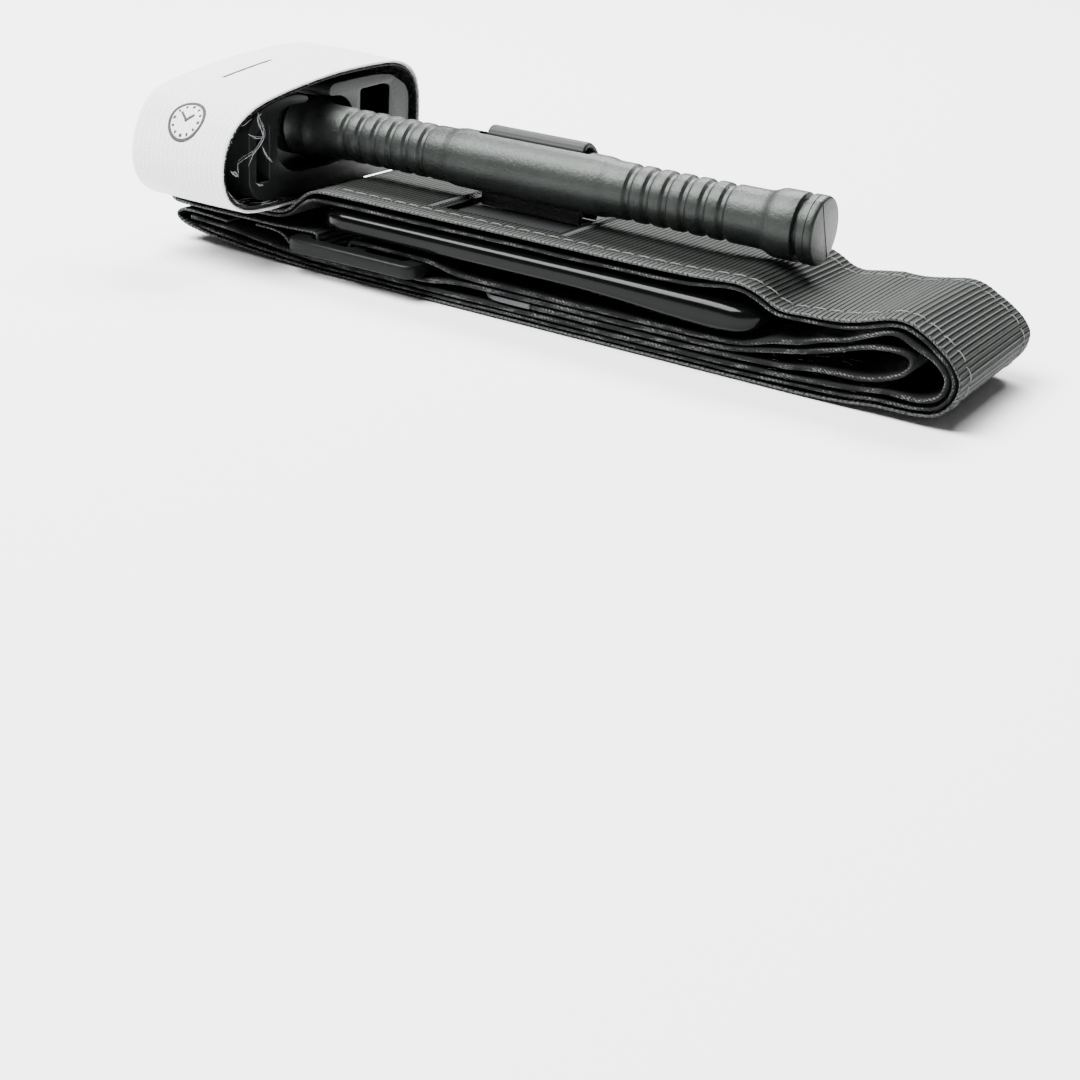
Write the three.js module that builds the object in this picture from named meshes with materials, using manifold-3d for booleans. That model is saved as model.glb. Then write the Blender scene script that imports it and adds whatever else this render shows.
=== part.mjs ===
// Windlass tourniquet, folded flat for carrying.
// Millimetres, +Z up, +X along the windlass rod towards the folded end of the band,
// origin under the middle of the bounding box.
//
// The long band is laid out as the real one is packed: a flattened loop folded in half
// at the +X end. The sewn two-ply sheath runs over the stabilization plate, round the
// fold and back along the bottom, turns up at the -X end, and the self-adhering half of
// the band comes back inside it, round the inner fold and under the plate to the routing
// buckle. Its tail is turned back through the buckle and folded inside everything else.

import * as THREE from 'three';
import { mergeVertices } from 'three/addons/utils/BufferGeometryUtils.js';
import Module from 'manifold-3d';

// ---------------------------------------------------------------- driving dimensions
const BAND_W = 38.1;            // band width (1.5 in webbing)
const T_SHEATH = 0.6;           // one sheath ply
const T_BAND = 0.9;             // self-adhering half of the band, two plies pressed
const T_RIBBON = 0.6;           // tension ribbon lying in the sheath
const RIBBON_W = 25;            // tension ribbon width
const T_LOOP = 1.2;             // tension ribbon, doubled, through the windlass slot

const ROD_LEN = 126.2;          // windlass rod length
const ROD_R = 6.49;             // knob radius at the rod's ends
const SHAFT_R = 5.5;            // rod radius between the knobs
const BOSS_R = 5.9;             // rod radius round the slot
const ROD_Z = 24.8;             // rod axis above the resting face
const SLOT_L = 26.4;            // slot in the rod for the tension ribbon
const SLOT_W = 2.2;

const STRAP_W = 25.35;          // securing strap width
const STRAP_X = -138.6;         // strap's outer edge
const T_FACE = 0.6;             // white woven face of the strap
const T_LINING = 0.5;           // hook-tape lining of the strap
const LINING_GAP = 0.2;

const CLIP_X0 = -137.5;         // clip, along the rod
const CLIP_X1 = -114.2;
const CLIP_WEB = 2.4;           // web left in the middle of the wing pockets

const PLATE_X0 = -103.5;        // stabilization plate
const PLATE_X1 = -1.9;
const PLATE_W = 40.4;
const PLATE_WALL = 2.2;

const BUCKLE_W = 47;            // routing buckle
const BUCKLE_T = 2.8;
const BUCKLE_Z = 4.5;
const BUCKLE_SLOT = 40;

const FOLD_Z = 8.7;             // height of the band's unfolding line
const SHIFT_X = 53.45;          // from the working axes to the part's own origin
const SHIFT_Y = 2.4;

// ---------------------------------------------------------------- materials
const mat = (hex, roughness, metalness = 0) =>
  new THREE.MeshStandardMaterial({ color: hex, roughness, metalness });
const webbing = () => mat(0x1d1e1f, 0.72);
const innerWeb = () => mat(0x121314, 0.9);
const ribbonMat = () => mat(0x1a1b1c, 0.6);
const strapWhite = () => mat(0xe9e9e6, 0.8);
const hookTape = () => mat(0x17181a, 0.85);
const glossPlastic = () => mat(0x0e0f10, 0.22);
const mattePlastic = () => mat(0x2a2d2e, 0.55);
const clipPlastic = () => mat(0x26282a, 0.5);
const thread = () => mat(0x5d6060, 0.7);

// ---------------------------------------------------------------- helpers
const wasm = await Module();
wasm.setup();

const group = new THREE.Group();

function addMesh(name, geometry, material) {
  const g = geometry.clone();
  g.translate(SHIFT_X, SHIFT_Y, 0);
  const mesh = new THREE.Mesh(g, material);
  mesh.name = name;
  group.add(mesh);
  return mesh;
}

function toSolid(geometry) {
  let g = geometry.clone();
  g.deleteAttribute('normal');
  g.deleteAttribute('uv');
  g = mergeVertices(g, 1e-4);
  return new wasm.Manifold(new wasm.Mesh({
    numProp: 3,
    vertProperties: Float32Array.from(g.attributes.position.array),
    triVerts: Uint32Array.from(g.index.array),
  }));
}

function toGeometry(solid) {
  const m = solid.getMesh();
  const g = new THREE.BufferGeometry();
  g.setAttribute('position', new THREE.BufferAttribute(Float32Array.from(m.vertProperties), 3));
  g.setIndex(new THREE.BufferAttribute(Uint32Array.from(m.triVerts), 1));
  return g;
}

function box(x0, x1, y0, y1, z0, z1) {
  const g = new THREE.BoxGeometry(x1 - x0, y1 - y0, z1 - z0);
  g.translate((x0 + x1) / 2, (y0 + y1) / 2, (z0 + z1) / 2);
  return g;
}

// Corner cutting keeps a run inside its control points, so a straight run stays straight.
function smooth(points, rounds = 2) {
  let p = points.map(([a, b]) => [a, b]);
  for (let r = 0; r < rounds; r++) {
    const q = [p[0]];
    for (let i = 0; i < p.length - 1; i++) {
      const [a, b] = [p[i], p[i + 1]];
      if (i > 0) q.push([a[0] * 0.75 + b[0] * 0.25, a[1] * 0.75 + b[1] * 0.25]);
      if (i < p.length - 2) q.push([a[0] * 0.25 + b[0] * 0.75, a[1] * 0.25 + b[1] * 0.75]);
    }
    q.push(p[p.length - 1]);
    p = q;
  }
  return p;
}

// Drops the points that a run doesn't need to keep its shape.
function thin(points, tol) {
  if (points.length < 3) return points;
  const [a, b] = [points[0], points[points.length - 1]];
  const len = Math.hypot(b[0] - a[0], b[1] - a[1]) || 1e-9;
  let worst = 0, at = 0;
  for (let i = 1; i < points.length - 1; i++) {
    const d = Math.abs((b[0] - a[0]) * (a[1] - points[i][1]) - (a[0] - points[i][0]) * (b[1] - a[1])) / len;
    const e = len < 1e-6 ? Math.hypot(points[i][0] - a[0], points[i][1] - a[1]) : d;
    if (e > worst) { worst = e; at = i; }
  }
  if (worst <= tol) return [a, b];
  return [...thin(points.slice(0, at + 1), tol).slice(0, -1), ...thin(points.slice(at), tol)];
}

// Moves a run sideways; positive is to the left of its direction.
function offset(points, d) {
  const n = points.length;
  return points.map((p, i) => {
    const a = points[Math.max(i - 1, 0)], b = points[Math.min(i + 1, n - 1)];
    let n1 = null, n2 = null;
    if (i > 0) { const l = Math.hypot(p[0] - a[0], p[1] - a[1]); n1 = [-(p[1] - a[1]) / l, (p[0] - a[0]) / l]; }
    if (i < n - 1) { const l = Math.hypot(b[0] - p[0], b[1] - p[1]); n2 = [-(b[1] - p[1]) / l, (b[0] - p[0]) / l]; }
    if (!n1) n1 = n2; if (!n2) n2 = n1;
    const m = [(n1[0] + n2[0]) / 2, (n1[1] + n2[1]) / 2];
    const k = 1 / Math.max(m[0] * m[0] + m[1] * m[1], 0.5);
    return [p[0] + m[0] * d * k, p[1] + m[1] * d * k];
  });
}

function run(points, tol = 0.035) { return thin(smooth(points), tol); }

function outline(points, t) {
  const left = offset(points, t / 2), right = offset(points, -t / 2).reverse();
  const s = new THREE.Shape();
  [...left, ...right].forEach(([u, v], i) => (i ? s.lineTo(u, v) : s.moveTo(u, v)));
  return s;
}

// A profile in X and Z, extruded across the band (Y).
function acrossY(shape, y0, y1) {
  const g = new THREE.ExtrudeGeometry(shape, { depth: y1 - y0, bevelEnabled: false, curveSegments: 12 });
  g.rotateX(Math.PI / 2);
  g.translate(0, y1, 0);
  return g;
}

// A profile in Y and Z, extruded along the rod (X).
function alongX(shape, x0, x1) {
  const g = new THREE.ExtrudeGeometry(shape, { depth: x1 - x0, bevelEnabled: false, curveSegments: 12 });
  g.applyMatrix4(new THREE.Matrix4().makeBasis(
    new THREE.Vector3(0, 1, 0), new THREE.Vector3(0, 0, 1), new THREE.Vector3(1, 0, 0)));
  g.translate(x0, 0, 0);
  return g;
}

const ply = (points, t, width = BAND_W) => acrossY(outline(run(points), t), -width / 2, width / 2);

function polygon(points) {
  const s = new THREE.Shape();
  points.forEach(([u, v], i) => (i ? s.lineTo(u, v) : s.moveTo(u, v)));
  return s;
}

// An outline with rounded corners, corner radii in the order of the points.
function rounded(points, radii, steps = 5) {
  const n = points.length, out = [];
  for (let i = 0; i < n; i++) {
    const p = points[i], a = points[(i + n - 1) % n], b = points[(i + 1) % n], r = radii[i];
    if (!r) { out.push(p); continue; }
    const la = Math.hypot(a[0] - p[0], a[1] - p[1]), lb = Math.hypot(b[0] - p[0], b[1] - p[1]);
    const s = [p[0] + (a[0] - p[0]) * r / la, p[1] + (a[1] - p[1]) * r / la];
    const e = [p[0] + (b[0] - p[0]) * r / lb, p[1] + (b[1] - p[1]) * r / lb];
    for (let k = 0; k <= steps; k++) {
      const t = k / steps, w = [(1 - t) * (1 - t), 2 * t * (1 - t), t * t];
      out.push([s[0] * w[0] + p[0] * w[1] + e[0] * w[2], s[1] * w[0] + p[1] * w[1] + e[1] * w[2]]);
    }
  }
  return out;
}

function slab(points, z0, z1) {
  const g = new THREE.ExtrudeGeometry(polygon(points), { depth: z1 - z0, bevelEnabled: false });
  g.translate(0, 0, z0);
  return g;
}

// ---------------------------------------------------------------- band: sewn sheath
// Outer ply: loop round the buckle's end bar, fold at the -X end, over the plate, and
// down to the unfolding line at the +X end.
const outerTopRight = [
  [-20, 16.85], [-13, 17.2], [-8.4, 17.6], [-6.5, 17.4], [-4.4, 17.0], [-1.9, 15.9],
  [-0.2, 14.9], [1.9, 14.4], [3.8, 14.5], [6.3, 14.7], [9.2, 14.9], [14.3, 15.6],
  [17.0, 16.4], [19.7, 17.3], [21.8, 17.8], [23.6, 17.9], [25.4, 17.6], [27.2, 16.8],
  [29.0, 15.8], [30.6, 14.7], [32.0, 13.6], [33.1, 12.6], [33.95, 11.5], [34.6, 10.3],
  [35.2, 9.4], [35.25, 8.9]];
const outerTop = [
  [-119, 6.85], [-113.5, 6.8], [-111.2, 6.0], [-109.8, 4.4], [-108.2, 3.85], [-105.5, 3.8],
  [-102.6, 3.6], [-102.5, 5.9], [-102.6, 8.1], [-105.5, 7.95], [-108.5, 7.9], [-112, 7.8],
  [-120, 7.75], [-132, 7.75], [-138.6, 7.75], [-142.0, 7.9], [-142.9, 9.15], [-142.0, 10.4],
  [-138.5, 10.6], [-130, 10.6], [-118, 10.6], [-113.5, 10.65], [-111.2, 11.2], [-109.6, 12.2],
  [-107.5, 14.2], [-105, 16.2], [-102, 16.8], [-95, 16.8], [-50, 16.8], ...outerTopRight];
const windowCut = box(-76.5, -49.7, -11.2, 11.2, 16, 18);
addMesh('sheath_outer_top',
  toGeometry(toSolid(ply(outerTop, T_SHEATH)).subtract(toSolid(windowCut))), webbing());

// Inner ply, sewn to the outer one along both edges.
const innerTop = [
  [-139.0, 9.6], [-130, 9.65], [-118, 9.65], [-113.2, 9.75], [-110.4, 10.5], [-108.6, 11.7],
  [-106.6, 13.7], [-104.4, 14.9], [-102, 15.0], [-95, 15.0], [-20, 15.0], [-14, 15.7],
  [-10.3, 16.4], [-7.5, 16.55], [-5.6, 16.2], [-3.4, 15.4], [-1.6, 14.4], [0, 13.65],
  [2.1, 13.4], [4.0, 13.45], [9.4, 13.8], [13.7, 14.3], [17.3, 15.2], [19.5, 16.0],
  [21.6, 16.65], [23.4, 16.85], [25.0, 16.6], [26.9, 15.75], [28.5, 14.95], [30.1, 13.85],
  [31.4, 12.75], [32.3, 11.95], [33.0, 11.0], [33.6, 9.9], [34.1, 8.9]];
addMesh('sheath_inner_top', ply(innerTop, T_SHEATH), innerWeb());

// The same two plies below the unfolding line, along the bottom and up at the -X end.
const outerBottom = [
  [35.3, 8.5], [35.2, 7.1], [34.9, 5.9], [34.3, 4.75], [32.9, 3.05], [31.3, 2.1],
  [27.9, 1.6], [24.1, 1.55], [20.3, 1.5], [16.6, 0.95], [12.8, 0.6], [7.4, 0.35], [4, 0.3],
  [-10, 0.3], [-95, 0.3], [-110, 0.5], [-120, 1.1], [-130, 2.0], [-136, 2.75], [-139.8, 3.6],
  [-141.7, 5.1], [-140.2, 6.4], [-137, 6.5], [-132, 6.4], [-127, 6.05]];
addMesh('sheath_outer_bottom', ply(outerBottom, T_SHEATH), webbing());

const innerBottom = [
  [34.15, 8.5], [34.0, 7.1], [33.7, 6.0], [33.2, 5.1], [32.2, 4.0], [31.0, 3.3],
  [27.9, 2.75], [24.0, 2.6], [20.3, 2.6], [16.6, 2.1], [12.4, 1.85], [4, 1.5], [-10, 1.25],
  [-95, 1.25], [-110, 1.5], [-120, 2.1], [-130, 3.0], [-135, 3.65]];
addMesh('sheath_inner_bottom', ply(innerBottom, T_SHEATH), innerWeb());

// ---------------------------------------------------------------- band: self-adhering half
const bandUpper = [
  [32.95, 8.9], [32.5, 9.7], [31.8, 10.6], [30.8, 11.6], [29.6, 12.5], [28.0, 13.2],
  [26.7, 13.7], [24.9, 14.6], [23.3, 15.3], [21.8, 15.35], [20.0, 14.8], [18.3, 14.1],
  [16.5, 13.3], [14.8, 12.4], [13.4, 11.8], [11.1, 11.3], [8.9, 10.6], [7.1, 9.8],
  [4.8, 9.2], [1.2, 8.7], [-0.9, 8.2], [-2.6, 7.6], [-5, 6.95], [-8, 6.55], [-13, 6.4],
  [-20, 6.3], [-66, 6.3], [-70, 6.9], [-73.5, 7.8], [-77, 8.05], [-88, 8.05], [-91.5, 8.05],
  [-94.3, 8.0], [-94.4, 6.9], [-94.4, 6.1]];
addMesh('band_upper_run', ply(bandUpper, T_BAND), innerWeb());

const tailUpper = [
  [-94.4, 5.7], [-94.4, 4.9], [-94.2, 3.85], [-91.5, 3.75], [-77, 3.75], [-73.5, 4.1],
  [-70, 4.8], [-66, 5.05], [-20, 5.05], [-12, 5.1], [-8, 5.3], [-5, 5.7], [-2, 6.3],
  [2.4, 7.2], [4.4, 7.5], [7.3, 8.2], [11.0, 9.2], [13.3, 9.9], [15.1, 10.6], [16.9, 11.3],
  [19.6, 12.1], [22.9, 12.3], [24.8, 12.2], [26.2, 11.6], [26.6, 10.5], [26.2, 9.6],
  [25.8, 8.95]];
addMesh('tail_upper_run', ply(tailUpper, T_BAND), innerWeb());

const bandLower = [
  [32.9, 8.4], [32.75, 7.5], [32.4, 6.2], [31.6, 5.3], [30.4, 4.75], [29.0, 4.4],
  [27.8, 4.25], [24.7, 4.4], [22.9, 4.45], [20.8, 4.2], [18.1, 3.75], [15.3, 3.4],
  [10, 3.1], [4, 2.8], [-10, 2.4], [-20, 2.35], [-95, 2.35], [-106, 2.6], [-115, 3.4],
  [-125, 4.5], [-132, 5.0], [-137.2, 5.1]];
addMesh('band_lower_run', ply(bandLower, T_BAND), innerWeb());

const tailLower = [
  [25.5, 8.45], [24.0, 7.5], [22.5, 6.9], [20.5, 6.2], [17.5, 5.6], [13.6, 5.5], [9.6, 5.4],
  [6.8, 5.0], [3.9, 4.5], [-2, 4.2], [-8, 3.9], [-15, 3.75], [-50, 3.75]];
addMesh('tail_lower_run', ply(tailLower, T_BAND), innerWeb());

// Rounded tab sewn over the tail's cut end.
{
  const h = BAND_W / 2;
  const plan = rounded([[-50.4, -h], [-50.4, h], [-63.5, h], [-63.5, -h]], [0, 0, 9, 9]);
  addMesh('tail_tip_tab', slab(plan, 3.25, 4.25), mat(0x5a5d5e, 0.6));
}

// ---------------------------------------------------------------- tension ribbon
addMesh('tension_ribbon_clip_side', box(-101.5, -77.4, -RIBBON_W / 2, RIBBON_W / 2, 15.6, 15.6 + T_RIBBON), ribbonMat());
addMesh('tension_ribbon_fold_side', box(-48.8, -22, -RIBBON_W / 2, RIBBON_W / 2, 15.6, 15.6 + T_RIBBON), ribbonMat());

const ribbonLoop = [
  [0, 16.0], [0, 20], [0, 28.6], [0, 30.3], [0.6, 31.6], [2.4, 31.75], [4.3, 30.6],
  [5.9, 28.9], [6.85, 26.6], [6.95, 24.2], [6.9, 20], [6.3, 17.6], [5.8, 16.0]];
const ROD_MID = -ROD_LEN / 2;
addMesh('tension_ribbon_loop', alongX(outline(run(ribbonLoop), T_LOOP), ROD_MID - 12, ROD_MID + 12), ribbonMat());

// Bar tacks that close the sheath at both ends of its window.
{
  const a = toSolid(box(-79.6, -78.0, -13, 13, 17.35, 17.75));
  const b = toSolid(box(-48.2, -46.6, -13, 13, 17.35, 17.75));
  addMesh('sheath_bar_tack_clip_side', toGeometry(a), thread());
  addMesh('sheath_bar_tack_fold_side', toGeometry(b), thread());
}

// ---------------------------------------------------------------- edge seams
const seamOffset = T_SHEATH / 2 + 0.1 + 0.125;
const seamPly = (points, side, y) =>
  acrossY(outline(offset(run(points), side * seamOffset), 0.25), y - 0.3, y + 0.3);
const seamTop = [[-100, 16.8], [-95, 16.8], [-50, 16.8], ...outerTopRight];
addMesh('edge_seam_front_top', seamPly(seamTop, 1, -14.6), thread());
addMesh('edge_seam_back_top', seamPly(seamTop, 1, 14.6), thread());
const seamBottom = outerBottom.slice(0, 8);
addMesh('edge_seam_front_bottom', seamPly(seamBottom, 1, -14.6), thread());
addMesh('edge_seam_back_bottom', seamPly(seamBottom, 1, 14.6), thread());

// ---------------------------------------------------------------- stabilization plate
{
  const side = [
    [PLATE_X0, 10.6], [PLATE_X0 + 0.3, 9.7], [PLATE_X0 + 1.2, 9.05], [PLATE_X0 + 3, 8.95],
    [-95, 8.95], [-40, 8.95], [-30, 8.4], [-20, 7.6], [-12.6, 7.3], [-9.7, 7.4], [-6.6, 7.7],
    [-3.9, 8.4], [-2.3, 9.2], [PLATE_X1, 10.3], [-2.3, 11.7], [-4.1, 12.1], [-7.9, 12.7],
    [-10.4, 13.5], [-13.4, 14.2], [-17, 14.4], [-97, 14.4], [PLATE_X0 + 3.2, 13.9],
    [PLATE_X0 + 1.0, 12.4]];
  const outer = toSolid(acrossY(polygon(side), -PLATE_W / 2, PLATE_W / 2));
  // Rounded corners seen from above.
  const h = PLATE_W / 2, e = 0.4;
  const plan = rounded(
    [[PLATE_X0 - e, -h + 0.01], [PLATE_X1 + e, -h + 0.01], [PLATE_X1 + e, h - 0.01], [PLATE_X0 - e, h - 0.01]],
    [8, 15, 15, 8]);
  const planG = slab(plan, 6, 16);
  // Open underneath: a shallow tray, wall by wall the same thickness.
  const inner = toSolid(box(PLATE_X0 + 6, -18, -h + PLATE_WALL + 1, h - PLATE_WALL - 1, 6, 14.4 - PLATE_WALL));
  const plate = outer.intersect(toSolid(planG)).subtract(inner);
  addMesh('stabilization_plate', toGeometry(plate), glossPlastic());
}

// ---------------------------------------------------------------- windlass clip
{
  const section = [
    [-21.0, 13.0], [22.5, 13.0], [26.0, 14.4], [27.6, 17.0], [27.6, 29.0], [26.4, 31.4],
    [21.0, 34.3], [15.5, 34.9], [8.0, 34.7], [-1.2, 34.1], [-2.3, 33.3], [-2.3, 32.1],
    [2.6, 32.1], [5.0, 31.0], [6.8, 29.2], [7.6, 26.6], [7.6, 23.4], [6.8, 20.4],
    [5.0, 18.5], [2.6, 17.6], [-11.0, 17.6], [-14.0, 18.4], [-16.6, 20.2], [-17.6, 22.6],
    [-17.6, 28.2], [-15.4, 29.6], [-15.4, 31.6], [-16.4, 32.3], [-20.5, 31.5], [-24.6, 30.2],
    [-26.4, 28.2], [-26.4, 17.0], [-24.6, 14.2]];
  let clip = toSolid(alongX(polygon(section), CLIP_X0, CLIP_X1));
  const mid = (CLIP_X0 + CLIP_X1) / 2;
  const pockets = [
    [[9.8, 18.2], [20.2, 18.2], [20.2, 32.1], [18.2, 32.6], [9.8, 32.3]],
    [[-24.2, 17.2], [-20.2, 17.2], [-20.2, 28.8], [-22.4, 28.4], [-24.2, 27.2]]];
  for (const p of pockets) {
    clip = clip.subtract(toSolid(alongX(polygon(p), CLIP_X0 - 1, mid - CLIP_WEB / 2)));
    clip = clip.subtract(toSolid(alongX(polygon(p), mid + CLIP_WEB / 2, CLIP_X1 + 1)));
  }
  addMesh('windlass_clip', toGeometry(clip), clipPlastic());
  // Tape that the strap's free end grips, on the outside of the back wing.
  addMesh('clip_hook_pad', box(CLIP_X0 + 1, CLIP_X1 - 1, 27.9, 28.7, 17.4, 28.6), hookTape());
}

// ---------------------------------------------------------------- securing strap
{
  const anchor = [
    [-7, 11.6], [-21.5, 11.6], [-28.4, 12.0], [-33.2, 14.5], [-35.05, 17.8], [-35.4, 21.6],
    [-34.3, 26.1], [-31.2, 29.9], [-26.5, 32.2], [-22.6, 33.15]];
  const flap = [
    [-22.1, 33.25], [-13.6, 34.6], [-2.2, 36.1], [6.6, 36.6], [15.4, 36.75], [22.9, 36.4],
    [28.1, 33.9], [30.0, 30.9], [30.5, 27.2], [30.5, 22], [30.5, 15.5]];
  const x0 = STRAP_X, x1 = STRAP_X + STRAP_W;
  const lin = T_FACE / 2 + LINING_GAP + T_LINING / 2;
  const strip = (points, d, t) => alongX(outline(offset(run(points), d), t), x0, x1);
  addMesh('strap_anchor_face', strip(anchor, 0, T_FACE), strapWhite());
  addMesh('strap_anchor_lining', strip(anchor, -lin, T_LINING), hookTape());
  addMesh('strap_flap_face', strip(flap, 0, T_FACE), strapWhite());
  addMesh('strap_flap_lining', strip(flap, -lin, T_LINING), hookTape());
}

// ---------------------------------------------------------------- windlass rod
{
  const half = ROD_LEN / 2;
  // Distance from the end, radius.
  const end = [
    [0, 0], [0, 5.9], [0.6, ROD_R], [3.0, ROD_R], [3.1, 5.5], [4.1, 5.5], [4.2, ROD_R],
    [13.4, ROD_R], [14.6, SHAFT_R]];
  const ribs = [];
  for (let i = 0; i < 6; i++) {
    const s = 18 + i * 4;
    ribs.push([s, SHAFT_R], [s + 0.4, SHAFT_R - 0.6], [s + 1.4, SHAFT_R - 0.6], [s + 1.8, SHAFT_R]);
  }
  const mid = [[44.5, SHAFT_R], [46.0, BOSS_R]];
  const one = [...end, ...ribs, ...mid];
  const profile = [
    ...one.map(([s, r]) => [-half + s, r]),
    ...one.slice().reverse().map(([s, r]) => [half - s, r])];
  const lathe = new THREE.LatheGeometry(profile.map(([s, r]) => new THREE.Vector2(r, s)), 28);
  lathe.rotateZ(-Math.PI / 2);
  lathe.translate(ROD_MID, 0, ROD_Z);
  let rod = toSolid(lathe);
  if (rod.volume() < 0) throw new Error('rod is inside out');
  rod = rod.subtract(toSolid(box(ROD_MID - SLOT_L / 2, ROD_MID + SLOT_L / 2, -SLOT_W / 2, SLOT_W / 2, ROD_Z - 9, ROD_Z + 9)));
  addMesh('windlass_rod', toGeometry(rod), mattePlastic());
}

// ---------------------------------------------------------------- routing buckle
{
  const x0 = -107.5, x1 = -75.5, h = BUCKLE_W / 2, s = BUCKLE_SLOT / 2;
  const z1 = BUCKLE_Z + BUCKLE_T;
  let buckle = toSolid(slab(rounded([[x0, -h], [x1, -h], [x1, h], [x0, h]], [3, 3, 3, 3]), BUCKLE_Z, z1));
  for (const a of [x0 + 4, x0 + 18]) buckle = buckle.subtract(toSolid(box(a, a + 10, -s, s, BUCKLE_Z - 1, z1 + 1)));
  addMesh('routing_buckle', toGeometry(buckle), mattePlastic());
}

export default group;
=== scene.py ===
import bpy, bmesh, math
import numpy as np
from mathutils import Matrix, Vector


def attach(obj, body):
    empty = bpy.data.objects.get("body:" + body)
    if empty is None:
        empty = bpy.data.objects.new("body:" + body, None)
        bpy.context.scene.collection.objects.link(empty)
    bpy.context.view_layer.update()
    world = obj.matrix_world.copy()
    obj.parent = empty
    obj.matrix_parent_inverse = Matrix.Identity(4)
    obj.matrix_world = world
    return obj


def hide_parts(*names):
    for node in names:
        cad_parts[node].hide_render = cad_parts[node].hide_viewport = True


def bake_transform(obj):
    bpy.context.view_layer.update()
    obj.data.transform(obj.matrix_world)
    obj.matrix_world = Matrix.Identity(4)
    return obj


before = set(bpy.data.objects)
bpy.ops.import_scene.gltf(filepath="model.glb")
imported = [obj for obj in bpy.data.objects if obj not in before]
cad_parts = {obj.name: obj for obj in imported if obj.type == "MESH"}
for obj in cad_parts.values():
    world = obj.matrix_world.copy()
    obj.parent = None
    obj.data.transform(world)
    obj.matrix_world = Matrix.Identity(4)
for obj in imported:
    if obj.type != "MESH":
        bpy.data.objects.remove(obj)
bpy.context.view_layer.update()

# Working axes, in millimetres: x from the rod's free end, y from the band's centre line,
# z from the resting face. The row frame is this, shifted.
SX, SY = 53.45, 2.4


def row(x, y, z):
    return ((x + SX) / 1000.0, (y + SY) / 1000.0, z / 1000.0)


# ------------------------------------------------------------------ camera
cam_data = bpy.data.cameras.new("camera")
cam_data.sensor_width = 36.0
cam_data.lens = 1702.407 / 1080.0 * 36.0
cam_data.clip_start = 0.01
cam = bpy.data.objects.new("camera", cam_data)
bpy.context.scene.collection.objects.link(cam)
right = Vector((0.84438565, 0.5319089, 0.06392026))
down = Vector((0.27307953, -0.32468319, -0.90554315))
fwd = Vector((-0.46091262, 0.78208296, -0.41941126))
m = Matrix((right, -down, -fwd)).transposed().to_4x4()
m.translation = Vector(row(114.556, -288.695, 100.769))
cam.matrix_world = m
bpy.context.scene.camera = cam

# ------------------------------------------------------------------ node helpers


class Nodes:
    """A short way to write a node material."""

    def __init__(self, name):
        self.mat = bpy.data.materials.new(name)
        self.mat.use_nodes = True
        self.t = self.mat.node_tree
        self.t.nodes.clear()
        self.out = self.t.nodes.new("ShaderNodeOutputMaterial")
        self.bsdf = self.t.nodes.new("ShaderNodeBsdfPrincipled")
        self.t.links.new(self.bsdf.outputs[0], self.out.inputs[0])

    def put(self, socket, value):
        if hasattr(value, "is_output"):
            self.t.links.new(value, socket)
        else:
            socket.default_value = value

    def set(self, name, value):
        if isinstance(value, (tuple, list)) and len(value) == 3:
            value = (*value, 1.0)
        self.put(self.bsdf.inputs[name], value)

    def node(self, kind, out=0, props=None, **inputs):
        n = self.t.nodes.new(kind)
        for k, v in (props or {}).items():
            setattr(n, k, v)
        for k, v in inputs.items():
            key = int(k[1:]) if k[0] == "i" and k[1:].isdigit() else k.replace("_", " ")
            self.put(n.inputs[key], v)
        return n.outputs[out]

    def math(self, op, a, b=0.0, c=0.0, clamp=False):
        return self.node("ShaderNodeMath", props={"operation": op, "use_clamp": clamp}, i0=a, i1=b, i2=c)

    def mix(self, f, a, b):
        n = self.t.nodes.new("ShaderNodeMix")
        n.data_type = "RGBA"
        self.put(n.inputs[0], f)
        for i, v in ((6, a), (7, b)):
            if isinstance(v, (tuple, list)) and len(v) == 3:
                v = (*v, 1.0)
            self.put(n.inputs[i], v)
        return n.outputs[2]

    def mixf(self, f, a, b):
        n = self.t.nodes.new("ShaderNodeMix")
        n.data_type = "FLOAT"
        self.put(n.inputs[0], f)
        self.put(n.inputs[2], a)
        self.put(n.inputs[3], b)
        return n.outputs[0]

    def ramp(self, v, lo, hi):
        """0 below lo, 1 above hi, smooth between."""
        return self.node("ShaderNodeMapRange", props={"interpolation_type": "SMOOTHSTEP"},
                         i0=v, i1=lo, i2=hi, i3=0.0, i4=1.0)

    def position(self, scale=1000.0):
        """Object position in millimetres."""
        c = self.node("ShaderNodeTexCoord", out=3)
        return self.node("ShaderNodeVectorMath", props={"operation": "SCALE"}, i0=c, i3=scale)

    def fab(self):
        """Distance along the fabric, across it and through it, in millimetres."""
        uv = self.node("ShaderNodeUVMap", props={"uv_map": "fab"})
        sep = self.t.nodes.new("ShaderNodeSeparateXYZ")
        self.t.links.new(uv, sep.inputs[0])
        a = self.t.nodes.new("ShaderNodeAttribute")
        a.attribute_name = "through"
        return sep.outputs[0], sep.outputs[1], a.outputs[2]

    def vec(self, x, y, z=0.0):
        return self.node("ShaderNodeCombineXYZ", i0=x, i1=y, i2=z)

    def noise(self, v, scale, detail=2.0, rough=0.5):
        return self.node("ShaderNodeTexNoise", Vector=v, Scale=scale, Detail=detail, Roughness=rough)

    def voronoi(self, v, scale, out=0):
        return self.node("ShaderNodeTexVoronoi", out=out, Vector=v, Scale=scale)

    def sin01(self, v, period, phase=0.0):
        """A wave from 0 to 1 along v."""
        a = self.math("MULTIPLY_ADD", v, 2 * math.pi / period, phase)
        return self.math("MULTIPLY_ADD", self.math("SINE", a), 0.5, 0.5)

    def bump(self, height, strength=0.5, distance=0.0001):
        n = self.t.nodes.new("ShaderNodeBump")
        self.put(n.inputs["Height"], height)
        n.inputs["Strength"].default_value = strength
        n.inputs["Distance"].default_value = distance
        self.t.links.new(n.outputs[0], self.bsdf.inputs["Normal"])
        return n.outputs[0]


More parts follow.
